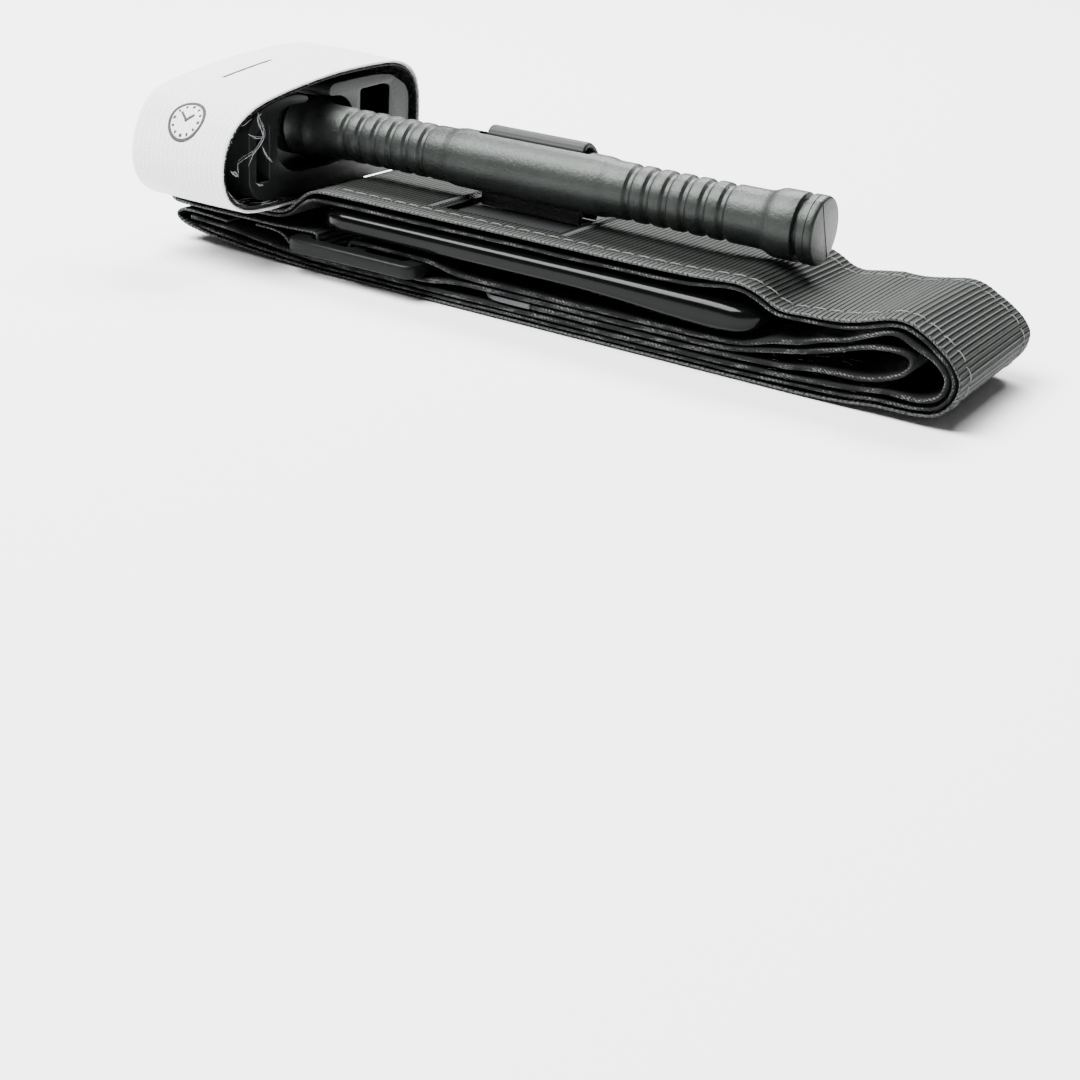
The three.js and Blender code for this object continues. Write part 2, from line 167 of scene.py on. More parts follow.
RIB = 1.05      # pitch of the webbing's ribs, mm
BAND = 38.1


def webbing_outer_material():
    k = Nodes("webbing_outer_ribbed")
    s, w, n = k.fab()
    crest = k.sin01(s, RIB, -math.pi / 2 + math.pi)       # 1 on a crest
    crest_mask_painted_valley_shade = k.ramp(crest, 0.04, 0.62)
    wob = k.noise(k.vec(k.math("MULTIPLY", s, 0.25), k.math("MULTIPLY", w, 1.0)), 2.0, 3.0)
    yarn = k.sin01(k.math("ADD", w, k.math("MULTIPLY", wob, 0.25)), 0.42)
    fine = k.noise(k.vec(k.math("MULTIPLY", s, 3.0), k.math("MULTIPLY", w, 6.0), n), 1.3, 3.0, 0.65)
    edge = k.ramp(k.math("ABSOLUTE", w), BAND / 2 - 0.55, BAND / 2 - 0.12)
    # Painted shade: the base colour is darker in the rib valleys and lighter on the crests, as if light fell on the
    # crests. The same crest mask also sets specular level and sheen.
    base = k.mix(crest_mask_painted_valley_shade, (0.0011, 0.0013, 0.0012), (0.0098, 0.0110, 0.0100))
    # Yarn lines here and random lighter patches below: real weave and tone, but laid only on the crests, so partly
    # painted highlight.
    base = k.mix(k.math("MULTIPLY", k.math("MULTIPLY", yarn, crest_mask_painted_valley_shade), 0.40), base, (0.0215, 0.0240, 0.0218))
    big = k.noise(k.vec(k.math("MULTIPLY", s, 0.12), k.math("MULTIPLY", w, 0.3)), 1.0, 2.0)
    base = k.mix(k.math("MULTIPLY", k.ramp(big, 0.4, 0.75), k.math("MULTIPLY", crest_mask_painted_valley_shade, 0.3)), base, (0.0200, 0.0232, 0.0208))
    twill = k.sin01(k.math("ADD", s, k.math("MULTIPLY", n, 1.4)), 0.8)
    speck = k.ramp(k.noise(k.vec(k.math("MULTIPLY", s, 3.4), k.math("MULTIPLY", w, 3.0), k.math("MULTIPLY", n, 5.0)), 1.0, 2.0), 0.42, 0.62)
    rim = k.mix(k.math("MULTIPLY", twill, speck), (0.008, 0.0085, 0.009), (0.125, 0.13, 0.128))
    base = k.mix(edge, base, rim)
    k.set("Base Color", base)
    k.set("Roughness", k.mixf(fine, 0.46, 0.70))
    k.set("Specular IOR Level", k.mixf(crest_mask_painted_valley_shade, 0.03, 0.36))
    k.set("Sheen Weight", k.math("MULTIPLY", crest_mask_painted_valley_shade, 0.022))
    k.set("Sheen Roughness", 0.4)
    k.set("Sheen Tint", (0.80, 0.90, 0.82))
    k.set("Specular Tint", (0.93, 1.0, 0.93))
    h = k.math("ADD", k.math("MULTIPLY", yarn, 0.55), k.math("MULTIPLY", fine, 0.9))
    k.bump(h, 0.6, 0.00010)
    return k.mat


def webbing_inner_material(name="webbing_inner_pile"):
    k = Nodes(name)
    s, w, n = k.fab()
    v = k.vec(s, w, n)
    pile = k.noise(v, 3.4, 4.0, 0.7)
    loops = k.voronoi(v, 2.1)
    base = k.mix(pile, (0.0016, 0.0017, 0.0018), (0.0095, 0.0100, 0.0105))
    dust = k.ramp(k.noise(k.vec(k.math("MULTIPLY", s, 2.6), k.math("MULTIPLY", w, 6.0), n), 1.3, 4.0, 0.75), 0.70, 0.76)
    base = k.mix(k.math("MULTIPLY", dust, 0.30), base, (0.30, 0.31, 0.31))
    edge = k.ramp(k.math("ABSOLUTE", w), BAND / 2 - 0.42, BAND / 2 - 0.08)
    twill = k.sin01(k.math("ADD", s, k.math("MULTIPLY", n, 1.5)), 0.74)
    speck = k.ramp(k.noise(k.vec(k.math("MULTIPLY", s, 2.4), w, k.math("MULTIPLY", n, 3.5)), 1.2, 3.0), 0.40, 0.60)
    lit = k.ramp(k.noise(k.vec(k.math("MULTIPLY", s, 0.16), n), 1.0, 2.0), 0.42, 0.62)
    rim = k.mix(k.math("MULTIPLY", twill, k.math("MULTIPLY", speck, lit)), (0.006, 0.0065, 0.007), (0.15, 0.155, 0.152))
    k.set("Base Color", k.mix(edge, base, rim))
    k.set("Roughness", 0.85)
    k.set("Specular IOR Level", 0.12)
    k.set("Sheen Weight", 0.02)
    k.set("Sheen Roughness", 0.5)
    k.bump(k.math("ADD", k.math("MULTIPLY", loops, 1.0), pile), 0.7, 0.00018)
    return k.mat


def ribbon_material():
    k = Nodes("ribbon_flat_weave")
    s, w, n = k.fab()
    rib = k.sin01(s, 0.62)
    yarn = k.sin01(w, 0.5)
    fine = k.noise(k.vec(k.math("MULTIPLY", s, 4.0), k.math("MULTIPLY", w, 4.0)), 1.5, 3.0, 0.6)
    base = k.mix(k.math("MULTIPLY", rib, yarn), (0.003, 0.0032, 0.0034), (0.024, 0.025, 0.026))
    k.set("Base Color", k.mix(k.math("MULTIPLY", fine, 0.4), base, (0.030, 0.031, 0.032)))
    k.set("Roughness", k.mixf(fine, 0.42, 0.66))
    k.set("Specular IOR Level", 0.35)
    k.set("Sheen Weight", 0.04)
    k.set("Sheen Roughness", 0.4)
    k.bump(k.math("ADD", k.math("MULTIPLY", rib, yarn), k.math("MULTIPLY", fine, 0.4)), 0.6, 0.00012)
    return k.mat


def strap_white_material():
    k = Nodes("strap_white_weave")
    s, w, n = k.fab()
    jitter = k.noise(k.vec(k.math("MULTIPLY", s, 0.9), k.math("MULTIPLY", w, 0.9)), 1.0, 3.0)
    s2 = k.math("MULTIPLY_ADD", jitter, 0.22, s)
    w2 = k.math("MULTIPLY_ADD", jitter, 0.18, w)
    a = k.sin01(s2, 0.86)
    b = k.sin01(w2, 0.66)
    c = k.sin01(w2, 1.32, 1.2)
    over = k.math("MULTIPLY", a, b)
    under = k.math("MULTIPLY", k.math("SUBTRACT", 1.0, a), c)
    weave = k.math("MAXIMUM", over, under)
    fine = k.noise(k.vec(k.math("MULTIPLY", s, 7.0), k.math("MULTIPLY", w, 7.0)), 1.0, 3.0, 0.7)
    pick = k.noise(k.vec(k.math("MULTIPLY", s, 1.1), k.math("MULTIPLY", w, 2.2)), 1.0, 4.0, 0.75)
    base = k.mix(weave, (0.70, 0.71, 0.705), (0.955, 0.96, 0.955))
    base = k.mix(k.math("MULTIPLY", k.ramp(pick, 0.48, 0.70), 0.45), base, (0.66, 0.67, 0.67))
    soil = k.noise(k.vec(k.math("MULTIPLY", s, 0.10), k.math("MULTIPLY", w, 0.14)), 1.0, 3.0)
    base = k.mix(k.math("MULTIPLY", k.ramp(soil, 0.45, 0.8), 0.18), base, (0.72, 0.71, 0.68))
    edge = k.ramp(k.math("ABSOLUTE", w), 25.35 / 2 - 0.5, 25.35 / 2)
    base = k.mix(k.math("MULTIPLY", edge, 0.5), base, (0.80, 0.80, 0.79))
    k.set("Base Color", base)
    k.set("Roughness", 0.86)
    k.set("Specular IOR Level", 0.25)
    k.set("Sheen Weight", 0.25)
    k.set("Sheen Roughness", 0.6)
    k.bump(k.math("ADD", weave, k.math("MULTIPLY", fine, 0.5)), 0.6, 0.00024)
    return k.mat


def hook_material():
    k = Nodes("hook_tape_black")
    s, w, n = k.fab()
    v = k.vec(s, w, n)
    cell = k.voronoi(v, 1.15)
    fuzz = k.noise(v, 4.5, 4.0, 0.75)
    base = k.mix(k.ramp(cell, 0.15, 0.55), (0.014, 0.015, 0.016), (0.0025, 0.0027, 0.003))
    dust = k.ramp(k.noise(k.vec(k.math("MULTIPLY", s, 1.4), k.math("MULTIPLY", w, 1.4), n), 1.2, 5.0, 0.8), 0.63, 0.72)
    k.set("Base Color", k.mix(k.math("MULTIPLY", dust, 0.4), base, (0.40, 0.42, 0.45)))
    k.set("Roughness", k.mixf(cell, 0.38, 0.8))
    k.set("Specular IOR Level", 0.25)
    k.set("Sheen Weight", 0.02)
    k.bump(k.math("SUBTRACT", k.math("MULTIPLY", fuzz, 0.6), cell), 0.8, 0.00035)
    return k.mat


def plastic_material(name, color, light, rough, grain=1.0, wear=0.12, coat=0.0, spec=0.5):
    k = Nodes(name)
    p = k.position()
    cloud = k.noise(p, 0.09, 3.0)
    fine = k.noise(p, 4.5, 3.0, 0.6)
    medium = k.noise(p, 1.5, 3.0, 0.65)
    scr = k.noise(k.node("ShaderNodeMapping", Vector=p, Scale=(0.05, 1.6, 1.6)), 1.0, 4.0, 0.7)
    scratch = k.ramp(scr, 0.66, 0.72)
    speck = k.ramp(k.noise(p, 2.6, 2.0, 0.7), 0.66, 0.74)
    base = k.mix(k.ramp(cloud, 0.35, 0.7), color, light)
    base = k.mix(k.math("MULTIPLY", medium, 0.45), base, tuple(c * 0.45 for c in color))
    base = k.mix(k.math("MULTIPLY", scratch, wear), base, tuple(min(1.0, c * 3 + 0.05) for c in light))
    base = k.mix(k.math("MULTIPLY", speck, 1.6 * wear), base, tuple(min(1.0, c * 2 + 0.04) for c in light))
    k.set("Base Color", base)
    k.set("Roughness", k.math("ADD", k.mixf(medium, rough - 0.07, rough + 0.11), k.math("MULTIPLY", scratch, 0.08)))
    k.set("Specular IOR Level", spec)
    k.set("Specular Tint", (0.93, 1.0, 0.945))
    k.set("Coat Weight", coat)
    k.set("Coat Roughness", 0.12)
    h = k.math("ADD", k.math("MULTIPLY", fine, 0.6), k.math("MULTIPLY", medium, 1.0))
    k.bump(k.math("ADD", h, k.math("MULTIPLY", scratch, -0.5)), 0.30 * grain, 0.00009)
    return k.mat


def thread_material(name, a, b):
    k = Nodes(name)
    p = k.position()
    strand = k.sin01(k.node("ShaderNodeVectorMath", out=1, props={"operation": "DOT_PRODUCT"}, i0=p, i1=(1.0, 0.8, 0.9)), 0.34)
    fuzz = k.noise(p, 6.0, 3.0, 0.7)
    k.set("Base Color", k.mix(k.math("MULTIPLY", strand, fuzz), a, b))
    k.set("Roughness", 0.62)
    k.set("Sheen Weight", 0.1)
    k.bump(k.math("ADD", strand, fuzz), 0.5, 0.00005)
    return k.mat


def print_material():
    k = Nodes("strap_print")
    p = k.position()
    worn = k.noise(p, 3.2, 4.0, 0.75)
    k.set("Base Color", k.mix(k.ramp(worn, 0.60, 0.76), (0.030, 0.033, 0.036), (0.42, 0.42, 0.42)))
    k.set("Roughness", 0.8)
    k.bump(worn, 0.5, 0.00008)
    return k.mat


M_OUTER = webbing_outer_material()
M_INNER = webbing_inner_material()
M_RIBBON = ribbon_material()
M_WHITE = strap_white_material()
M_HOOK = hook_material()
M_GLOSS = plastic_material("plate_gloss", (0.0012, 0.0013, 0.0014), (0.0024, 0.0027, 0.0028), 0.15, 0.35, 0.015, 0.07, 0.09)
M_ROD = plastic_material("rod_satin", (0.0065, 0.0078, 0.0072), (0.0125, 0.0145, 0.0135), 0.40, 3.2, 0.05, 0.0, 0.44)
M_CLIP = plastic_material("clip_satin", (0.0064, 0.0073, 0.0075), (0.0115, 0.0128, 0.0130), 0.41, 1.9, 0.05, 0.0, 0.29)
M_BUCKLE = plastic_material("buckle_satin", (0.0028, 0.0032, 0.0032), (0.0060, 0.0066, 0.0066), 0.42, 1.0, 0.04, 0.0, 0.13)
M_THREAD = thread_material("thread_grey", (0.09, 0.095, 0.093), (0.38, 0.395, 0.385))
M_THREAD_DARK = thread_material("thread_black", (0.012, 0.012, 0.013), (0.10, 0.10, 0.105))
M_LINT = thread_material("lint_white", (0.62, 0.64, 0.66), (0.95, 0.96, 0.98))
M_TAB = plastic_material("tip_tab_grey", (0.035, 0.037, 0.039), (0.06, 0.062, 0.064), 0.55, 2.0, 0.1)
M_PRINT = print_material()

# ------------------------------------------------------------------ mesh helpers


def link(name, me, mat, body, replaces=()):
    o = bpy.data.objects.new(name, me)
    bpy.context.scene.collection.objects.link(o)
    me.materials.clear()
    me.materials.append(mat)
    if body:
        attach(o, body)
    if replaces:
        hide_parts(*replaces)
    return o


def build_mesh(name, verts_mm, faces, smooth=True, angle=None, uv=None, through=None, recalc=True):
    v = np.asarray(verts_mm, float)
    v = np.column_stack([(v[:, 0] + SX) / 1000, (v[:, 1] + SY) / 1000, v[:, 2] / 1000])
    me = bpy.data.meshes.new(name)
    me.from_pydata(v.tolist(), [], faces)
    if recalc:
        bm = bmesh.new()
        bm.from_mesh(me)
        bmesh.ops.recalc_face_normals(bm, faces=bm.faces)
        bm.to_mesh(me)
        bm.free()
    if smooth:
        me.polygons.foreach_set("use_smooth", [True] * len(me.polygons))
    if angle is not None:
        sharpen(me, angle)
    if uv is not None:
        layer = me.uv_layers.new(name="fab")
        idx = np.zeros(len(me.loops), np.int32)
        me.loops.foreach_get("vertex_index", idx)
        layer.data.foreach_set("uv", np.asarray(uv, np.float32)[idx].ravel())
    if through is not None:
        a = me.attributes.new("through", "FLOAT", "POINT")
        a.data.foreach_set("value", np.asarray(through, np.float32))
    me.update()
    return me


def sharpen(me, angle):
    bm = bmesh.new()
    bm.from_mesh(me)
    for e in bm.edges:
        if len(e.link_faces) == 2 and e.calc_face_angle(0) > math.radians(angle):
            e.smooth = False
    bm.to_mesh(me)
    bm.free()


def chaikin(pts, rounds=4):
    p = np.asarray(pts, float)
    for _ in range(rounds):
        a, b = p[:-1], p[1:]
        q = np.empty((2 * len(a), 2))
        q[0::2] = a * 0.75 + b * 0.25
        q[1::2] = a * 0.25 + b * 0.75
        q = q[1:-1] if len(a) > 1 else q
        p = np.vstack([p[:1], q, p[-1:]])
    return p


def resample(p, ds):
    d = np.r_[0, np.cumsum(np.linalg.norm(np.diff(p, axis=0), axis=1))]
    keep = np.r_[True, np.diff(d) > 1e-9]
    p, d = p[keep], d[keep]
    n = max(2, int(round(d[-1] / ds)) + 1)
    s = np.linspace(0, d[-1], n)
    return np.column_stack([np.interp(s, d, p[:, 0]), np.interp(s, d, p[:, 1])]), s


def path(ctrl, ds, sigma=0.5):
    """A smooth run: points, distance along, left-hand normals."""
    p, _ = resample(chaikin(ctrl), 0.1)
    k = int(max(1, sigma / 0.1))
    if len(p) > 6 * k:
        x = np.arange(-3 * k, 3 * k + 1)
        g = np.exp(-0.5 * (x / k) ** 2)
        g /= g.sum()
        pad = 3 * k
        ext = np.vstack([2 * p[0] - p[pad:0:-1], p, 2 * p[-1] - p[-2:-pad - 2:-1]])
        p = np.column_stack([np.convolve(ext[:, c], g, "valid") for c in (0, 1)])
    p, s = resample(p, ds)
    t = np.gradient(p, axis=0)
    t /= np.linalg.norm(t, axis=1)[:, None]
    return p, s, np.column_stack([-t[:, 1], t[:, 0]])


def section(width, t, nw, bead=0.0, rim=0.45):
    """One closed loop across a strip: w, and the share of half-thickness, -1 to 1."""
    h = width / 2
    inner = np.linspace(-h + rim, h - rim, nw)
    ang = np.linspace(math.pi / 2, -math.pi / 2, 7)[1:-1]
    top = [(w, 1.0) for w in inner]
    right = [(h - rim + rim * math.cos(a), math.sin(a)) for a in ang]
    bottom = [(w, -1.0) for w in inner[::-1]]
    left = [(-h + rim - rim * math.cos(a), -math.sin(a)) for a in ang]
    return np.array(top + right + bottom + left)


def strip(name, run, i0, i1, t, width, nw, plane="XZ", w0=0.0, out=None, inn=None, warp=None,
          hole=None, caps=(True, True)):
    """A woven strip along a run. out and inn move the left and right faces: f(s, w) in mm."""
    P, S, N = run
    P, S, N = P[i0:i1 + 1], S[i0:i1 + 1], N[i0:i1 + 1]
    sec = section(width, t, nw)
    ns, nl = len(P), len(sec)
    w, q = sec[:, 0], sec[:, 1]
    SS, WW = np.meshgrid(S, w, indexing="ij")
    off = np.tile(q * t / 2, (ns, 1))
    side_out, side_in = np.tile(np.maximum(q, 0), (ns, 1)), np.tile(np.maximum(-q, 0), (ns, 1))
    if out is not None:
        off = off + side_out * out(SS, WW)
    if inn is not None:
        off = off - side_in * inn(SS, WW)
    A = P[:, 0][:, None] + N[:, 0][:, None] * off
    B = P[:, 1][:, None] + N[:, 1][:, None] * off
    if plane == "XZ":
        V = np.stack([A, WW + w0, B], axis=-1)
    else:
        V = np.stack([WW + w0, A, B], axis=-1)
    V = V.reshape(-1, 3)
    if warp is not None:
        V = warp(V)
    uv = np.stack([SS, WW], axis=-1).reshape(-1, 2)
    th = np.tile(q * t / 2, ns)
    faces = []
    skip = set()
    if hole:
        ia, ib, ja, jb = hole
        top_of = list(range(nw))
        bot_of = [nw + 5 + (nw - 1 - j) for j in range(nw)]
    for i in range(ns - 1):
        for j in range(nl):
            j2 = (j + 1) % nl
            if hole and ia <= i < ib:
                if ja <= j < jb and j2 == j + 1:
                    continue
                b = nl  # bottom cell between bot_of[k+1] and bot_of[k]
                k = nw - 1 - (j - (nw + 5)) - 1 if nw + 5 <= j < nw + 5 + nw - 1 else -1
                if ja <= k < jb:
                    continue
            faces.append((i * nl + j, (i + 1) * nl + j, (i + 1) * nl + j2, i * nl + j2))
    if hole:
        for i in range(ia, ib):
            for j in (ja, jb):
                a, b = top_of[j], bot_of[j]
                faces.append((i * nl + a, (i + 1) * nl + a, (i + 1) * nl + b, i * nl + b))
        for j in range(ja, jb):
            for i in (ia, ib):
                a, a2, b, b2 = top_of[j], top_of[j + 1], bot_of[j], bot_of[j + 1]
                faces.append((i * nl + a, i * nl + a2, i * nl + b2, i * nl + b))
    n0 = len(V)
    extra, euv, eth = [], [], []
    for end, do in ((0, caps[0]), (ns - 1, caps[1])):
        if not do:
            continue
        base = n0 + len(extra)
        ring = V[end * nl:(end + 1) * nl]
        extra += list(ring)
        euv += list(uv[end * nl:(end + 1) * nl])
        eth += list(th[end * nl:(end + 1) * nl])
        # Quads from top to bottom, so that the cap isn't one many-sided face.
        for j in range(nw - 1):
            faces.append((base + j, base + j + 1, base + 2 * nw + 5 - 2 - j, base + 2 * nw + 5 - 1 - j))
        faces.append(tuple(base + j for j in range(nw - 1, nw + 6)))
        faces.append(tuple([base + 2 * nw + 4] + [base + j for j in range(2 * nw + 5, nl)] + [base]))
    if extra:
        V = np.vstack([V, extra])
        uv = np.vstack([uv, euv])
        th = np.r_[th, eth]
    me = build_mesh(name, V, faces, uv=uv, through=th, recalc=False)
    bm = bmesh.new()
    bm.from_mesh(me)
    bmesh.ops.recalc_face_normals(bm, faces=bm.faces)
    bm.to_mesh(me)
    bm.free()
    return me


def tube_mesh(parts, sides=6):
    """Tubes with flat ends; each part is (points in mm, radius or radii)."""
    V, F = [], []
    for pts, rad in parts:
        pts = np.asarray(pts, float)
        n = len(pts)
        rad = np.full(n, rad) if np.isscalar(rad) else np.asarray(rad, float)
        t = np.gradient(pts, axis=0)
        t /= np.maximum(np.linalg.norm(t, axis=1), 1e-9)[:, None]
        up = np.array([0.0, 0.0, 1.0]) if abs(t[0][2]) < 0.9 else np.array([0.0, 1.0, 0.0])
        base = len(V)
        for i in range(n):
            a = np.cross(up, t[i])
            a /= np.linalg.norm(a) + 1e-12
            b = np.cross(t[i], a)
            up = b
            for k in range(sides):
                c = 2 * math.pi * k / sides
                V.append(pts[i] + rad[i] * (a * math.cos(c) + b * math.sin(c)))
        for i in range(n - 1):
            for k in range(sides):
                k2 = (k + 1) % sides
                F.append((base + i * sides + k, base + i * sides + k2, base + (i + 1) * sides + k2, base + (i + 1) * sides + k))
        F.append(tuple(base + k for k in range(sides - 1, -1, -1)))
        F.append(tuple(base + (n - 1) * sides + k for k in range(sides)))
    return np.array(V), F


def rounded(points, radii, steps=6):
    n, out = len(points), []
    for i in range(n):
        p, a, b = (np.array(points[j % n], float) for j in (i, i - 1, i + 1))
        r = radii[i] if isinstance(radii, (list, tuple)) else radii
        if not r:
            out.append(p)
            continue
        r1, r2 = min(r, 0.49 * np.linalg.norm(a - p)), min(r, 0.49 * np.linalg.norm(b - p))
        s = p + (a - p) / np.linalg.norm(a - p) * r1
        e = p + (b - p) / np.linalg.norm(b - p) * r2
        for k in range(steps + 1):
            u = k / steps
            out.append(s * (1 - u) ** 2 + p * 2 * u * (1 - u) + e * u * u)
    return np.array(out)


def prism(name, pts, lo, hi, plane):
    """A closed prism of an outline, plane XY, XZ or YZ, between lo and hi."""
    n = len(pts)
    put = {"XY": lambda a, b, c: (a, b, c), "XZ": lambda a, b, c: (a, c, b), "YZ": lambda a, b, c: (c, a, b)}[plane]
    V = [put(p[0], p[1], lo) for p in pts] + [put(p[0], p[1], hi) for p in pts]
    F = [(i, (i + 1) % n, (i + 1) % n + n, i + n) for i in range(n)]
    F += [tuple(range(n - 1, -1, -1)), tuple(range(n, 2 * n))]
    return build_mesh(name, V, F, smooth=False)


def cut(o, cutters, operation="DIFFERENCE"):
    """Cuts with the other meshes and bakes the result."""
    for me in cutters:
        c = bpy.data.objects.new("cutter", me)
        bpy.context.scene.collection.objects.link(c)
        b = o.modifiers.new("cut", "BOOLEAN")
        b.operation, b.solver, b.object = operation, "EXACT", c
        bake(o)
        bpy.data.objects.remove(c)


def bake(o):
    bpy.context.view_layer.update()
    dg = bpy.context.evaluated_depsgraph_get()
    me = bpy.data.meshes.new_from_object(o.evaluated_get(dg), depsgraph=dg)
    o.modifiers.clear()
    old = o.data
    o.data = me
    return me


def bevel(o, width, segments=3, angle=32):
    b = o.modifiers.new("edge", "BEVEL")
    b.width, b.segments, b.limit_method = width / 1000, segments, "ANGLE"
    b.angle_limit = math.radians(angle)
    b.harden_normals = False
    b.miter_outer = "MITER_ARC"
    bake(o)
    me = o.data
    me.polygons.foreach_set("use_smooth", [True] * len(me.polygons))
    sharpen(me, 40)


rng = np.random.default_rng(7)

# ------------------------------------------------------------------ band runs
outer_top_right = [
    (-20, 16.85), (-13, 17.2), (-8.4, 17.6), (-6.5, 17.4), (-4.4, 17.0), (-1.9, 15.9),
    (-0.2, 14.9), (1.9, 14.4), (3.8, 14.5), (6.3, 14.7), (9.2, 14.9), (14.3, 15.6),
    (17.0, 16.4), (19.7, 17.3), (21.8, 17.8), (23.6, 17.9), (25.4, 17.6), (27.2, 16.8),
    (29.0, 15.8), (30.6, 14.7), (32.0, 13.6), (33.1, 12.6), (33.95, 11.5), (34.6, 10.3),
    (35.2, 9.4), (35.3, 8.7)]
outer_top = [
    (-119, 6.85), (-113.5, 6.8), (-111.2, 6.0), (-109.8, 4.4), (-108.2, 3.85), (-105.5, 3.8),
    (-102.6, 3.6), (-102.5, 5.9), (-102.6, 8.1), (-105.5, 7.95), (-108.5, 7.9), (-112, 7.8),
    (-120, 7.75), (-132, 7.75), (-138.6, 7.75), (-142.0, 7.9), (-142.9, 9.15), (-142.0, 10.4),
    (-138.5, 10.6), (-130, 10.6), (-118, 10.6), (-113.5, 10.65), (-111.2, 11.2), (-109.6, 12.2),
    (-107.5, 14.2), (-105, 16.2), (-102, 16.8), (-95, 16.8), (-50, 16.8)] + outer_top_right
outer_bottom = [
    (35.3, 7.9), (35.2, 7.1), (34.9, 5.9), (34.3, 4.75), (32.9, 3.05), (31.3, 2.1),
    (27.9, 1.6), (24.1, 1.55), (20.3, 1.5), (16.6, 0.95), (12.8, 0.6), (7.4, 0.35), (4, 0.3),
    (-10, 0.3), (-95, 0.3), (-110, 0.5), (-120, 1.1), (-130, 2.0), (-136, 2.75), (-139.8, 3.6),
    (-141.7, 5.1), (-140.2, 6.4), (-137, 6.5), (-132, 6.4), (-127, 6.05)]
inner_top = [
    (-139.0, 9.6), (-130, 9.65), (-118, 9.65), (-113.2, 9.75), (-110.4, 10.5), (-108.6, 11.7),
    (-106.6, 13.7), (-104.4, 14.9), (-102, 15.0), (-95, 15.0), (-20, 15.0), (-14, 15.7),
    (-10.3, 16.4), (-7.5, 16.55), (-5.6, 16.2), (-3.4, 15.4), (-1.6, 14.4), (0, 13.65),
    (2.1, 13.4), (4.0, 13.45), (9.4, 13.8), (13.7, 14.3), (17.3, 15.2), (19.5, 16.0),
    (21.6, 16.65), (23.4, 16.85), (25.0, 16.6), (26.9, 15.75), (28.5, 14.95), (30.1, 13.85),
    (31.4, 12.75), (32.3, 11.95), (33.0, 11.0), (33.6, 9.9), (34.1, 8.7)]
inner_bottom = [
    (34.1, 7.9), (34.0, 7.1), (33.7, 6.0), (33.2, 5.1), (32.2, 4.0), (31.0, 3.3),
    (27.9, 2.75), (24.0, 2.6), (20.3, 2.6), (16.6, 2.1), (12.4, 1.85), (4, 1.5), (-10, 1.25),
    (-95, 1.25), (-110, 1.5), (-120, 2.1), (-130, 3.0), (-135, 3.65)]
band_upper = [
    (32.95, 8.7), (32.5, 9.7), (31.8, 10.6), (30.8, 11.6), (29.6, 12.5), (28.0, 13.2),
    (26.7, 13.7), (24.9, 14.6), (23.3, 15.3), (21.8, 15.35), (20.0, 14.8), (18.3, 14.1),
    (16.5, 13.3), (14.8, 12.4), (13.4, 11.8), (11.1, 11.3), (8.9, 10.6), (7.1, 9.8),
    (4.8, 9.2), (1.2, 8.7), (-0.9, 8.2), (-2.6, 7.6), (-5, 6.95), (-8, 6.55), (-13, 6.4),
    (-20, 6.3), (-66, 6.3), (-70, 6.9), (-73.5, 7.8), (-77, 8.05), (-88, 8.05), (-91.5, 8.05),
    (-94.3, 8.0), (-94.4, 6.9), (-94.4, 5.9)]
tail_upper = [
    (-94.4, 4.9), (-94.2, 3.85), (-91.5, 3.75), (-77, 3.75), (-73.5, 4.1),
    (-70, 4.8), (-66, 5.05), (-20, 5.05), (-12, 5.1), (-8, 5.3), (-5, 5.7), (-2, 6.3),
    (2.4, 7.2), (4.4, 7.5), (7.3, 8.2), (11.0, 9.2), (13.3, 9.9), (15.1, 10.6), (16.9, 11.3),
    (19.6, 12.1), (22.9, 12.3), (24.8, 12.2), (26.2, 11.6), (26.6, 10.5), (26.2, 9.3)]
band_lower = [
    (32.85, 8.1), (32.75, 7.5), (32.4, 6.2), (31.6, 5.3), (30.4, 4.75), (29.0, 4.4),
    (27.8, 4.25), (24.7, 4.4), (22.9, 4.45), (20.8, 4.2), (18.1, 3.75), (15.3, 3.4),
    (10, 3.1), (4, 2.8), (-10, 2.4), (-20, 2.35), (-95, 2.35), (-106, 2.6), (-115, 3.4),
    (-125, 4.5), (-132, 5.0), (-137.2, 5.1)]
tail_lower = [
    (25.3, 8.3), (24.0, 7.5), (22.5, 6.9), (20.5, 6.2), (17.5, 5.6), (13.6, 5.5), (9.6, 5.4),
    (6.8, 5.0), (3.9, 4.5), (-2, 4.2), (-8, 3.9), (-15, 3.75), (-50, 3.75)]

DS = RIB / 5.0
R_OUT = path(outer_top + outer_bottom, DS)
R_INN = path(inner_top + inner_bottom, 0.4)
R_BAND = path(band_upper[::-1] + band_lower, 0.4)
R_TAIL = path(tail_upper + tail_lower, 0.4)


def wobble(points, seed, amp=0.14):
    """The small unevenness of webbing that has been folded by hand."""
    r = np.random.default_rng(seed)
    ph = r.uniform(0, 6.28, 4)

    def f(s, w):
        return amp * 0.5 * (np.sin(s / 3.1 + ph[0] + w / 9) + np.sin(s / 5.3 + ph[1] - w / 14)) * 0.5
    return f


def smoothstep(v, a, b):
    u = np.clip((v - a) / (b - a), 0, 1)
    return u * u * (3 - 2 * u)


def drape(V):
    """The band's back edge lies lower than the front one beyond the plate, and its edges droop a little."""
    V = V.copy()
    x, y, z = V[:, 0], V[:, 1], V[:, 2]
    d = np.interp(x, [-14, -1.4, 4, 9.6, 15, 20, 28.4, 32.7, 36], [0, -0.9, -0.2, 0.45, -0.2, -0.9, -1.1, -0.5, 0])
    g = smoothstep(z, 8.9, 12.5) * smoothstep(x, -14, -6)
    u = (y + BAND / 2) / BAND
    crown = -0.35 * (np.abs(y) / (BAND / 2)) ** 4 * smoothstep(x, 4, 14) * smoothstep(z, 9, 14)
    V[:, 2] = z + d * g * u + crown
    return V


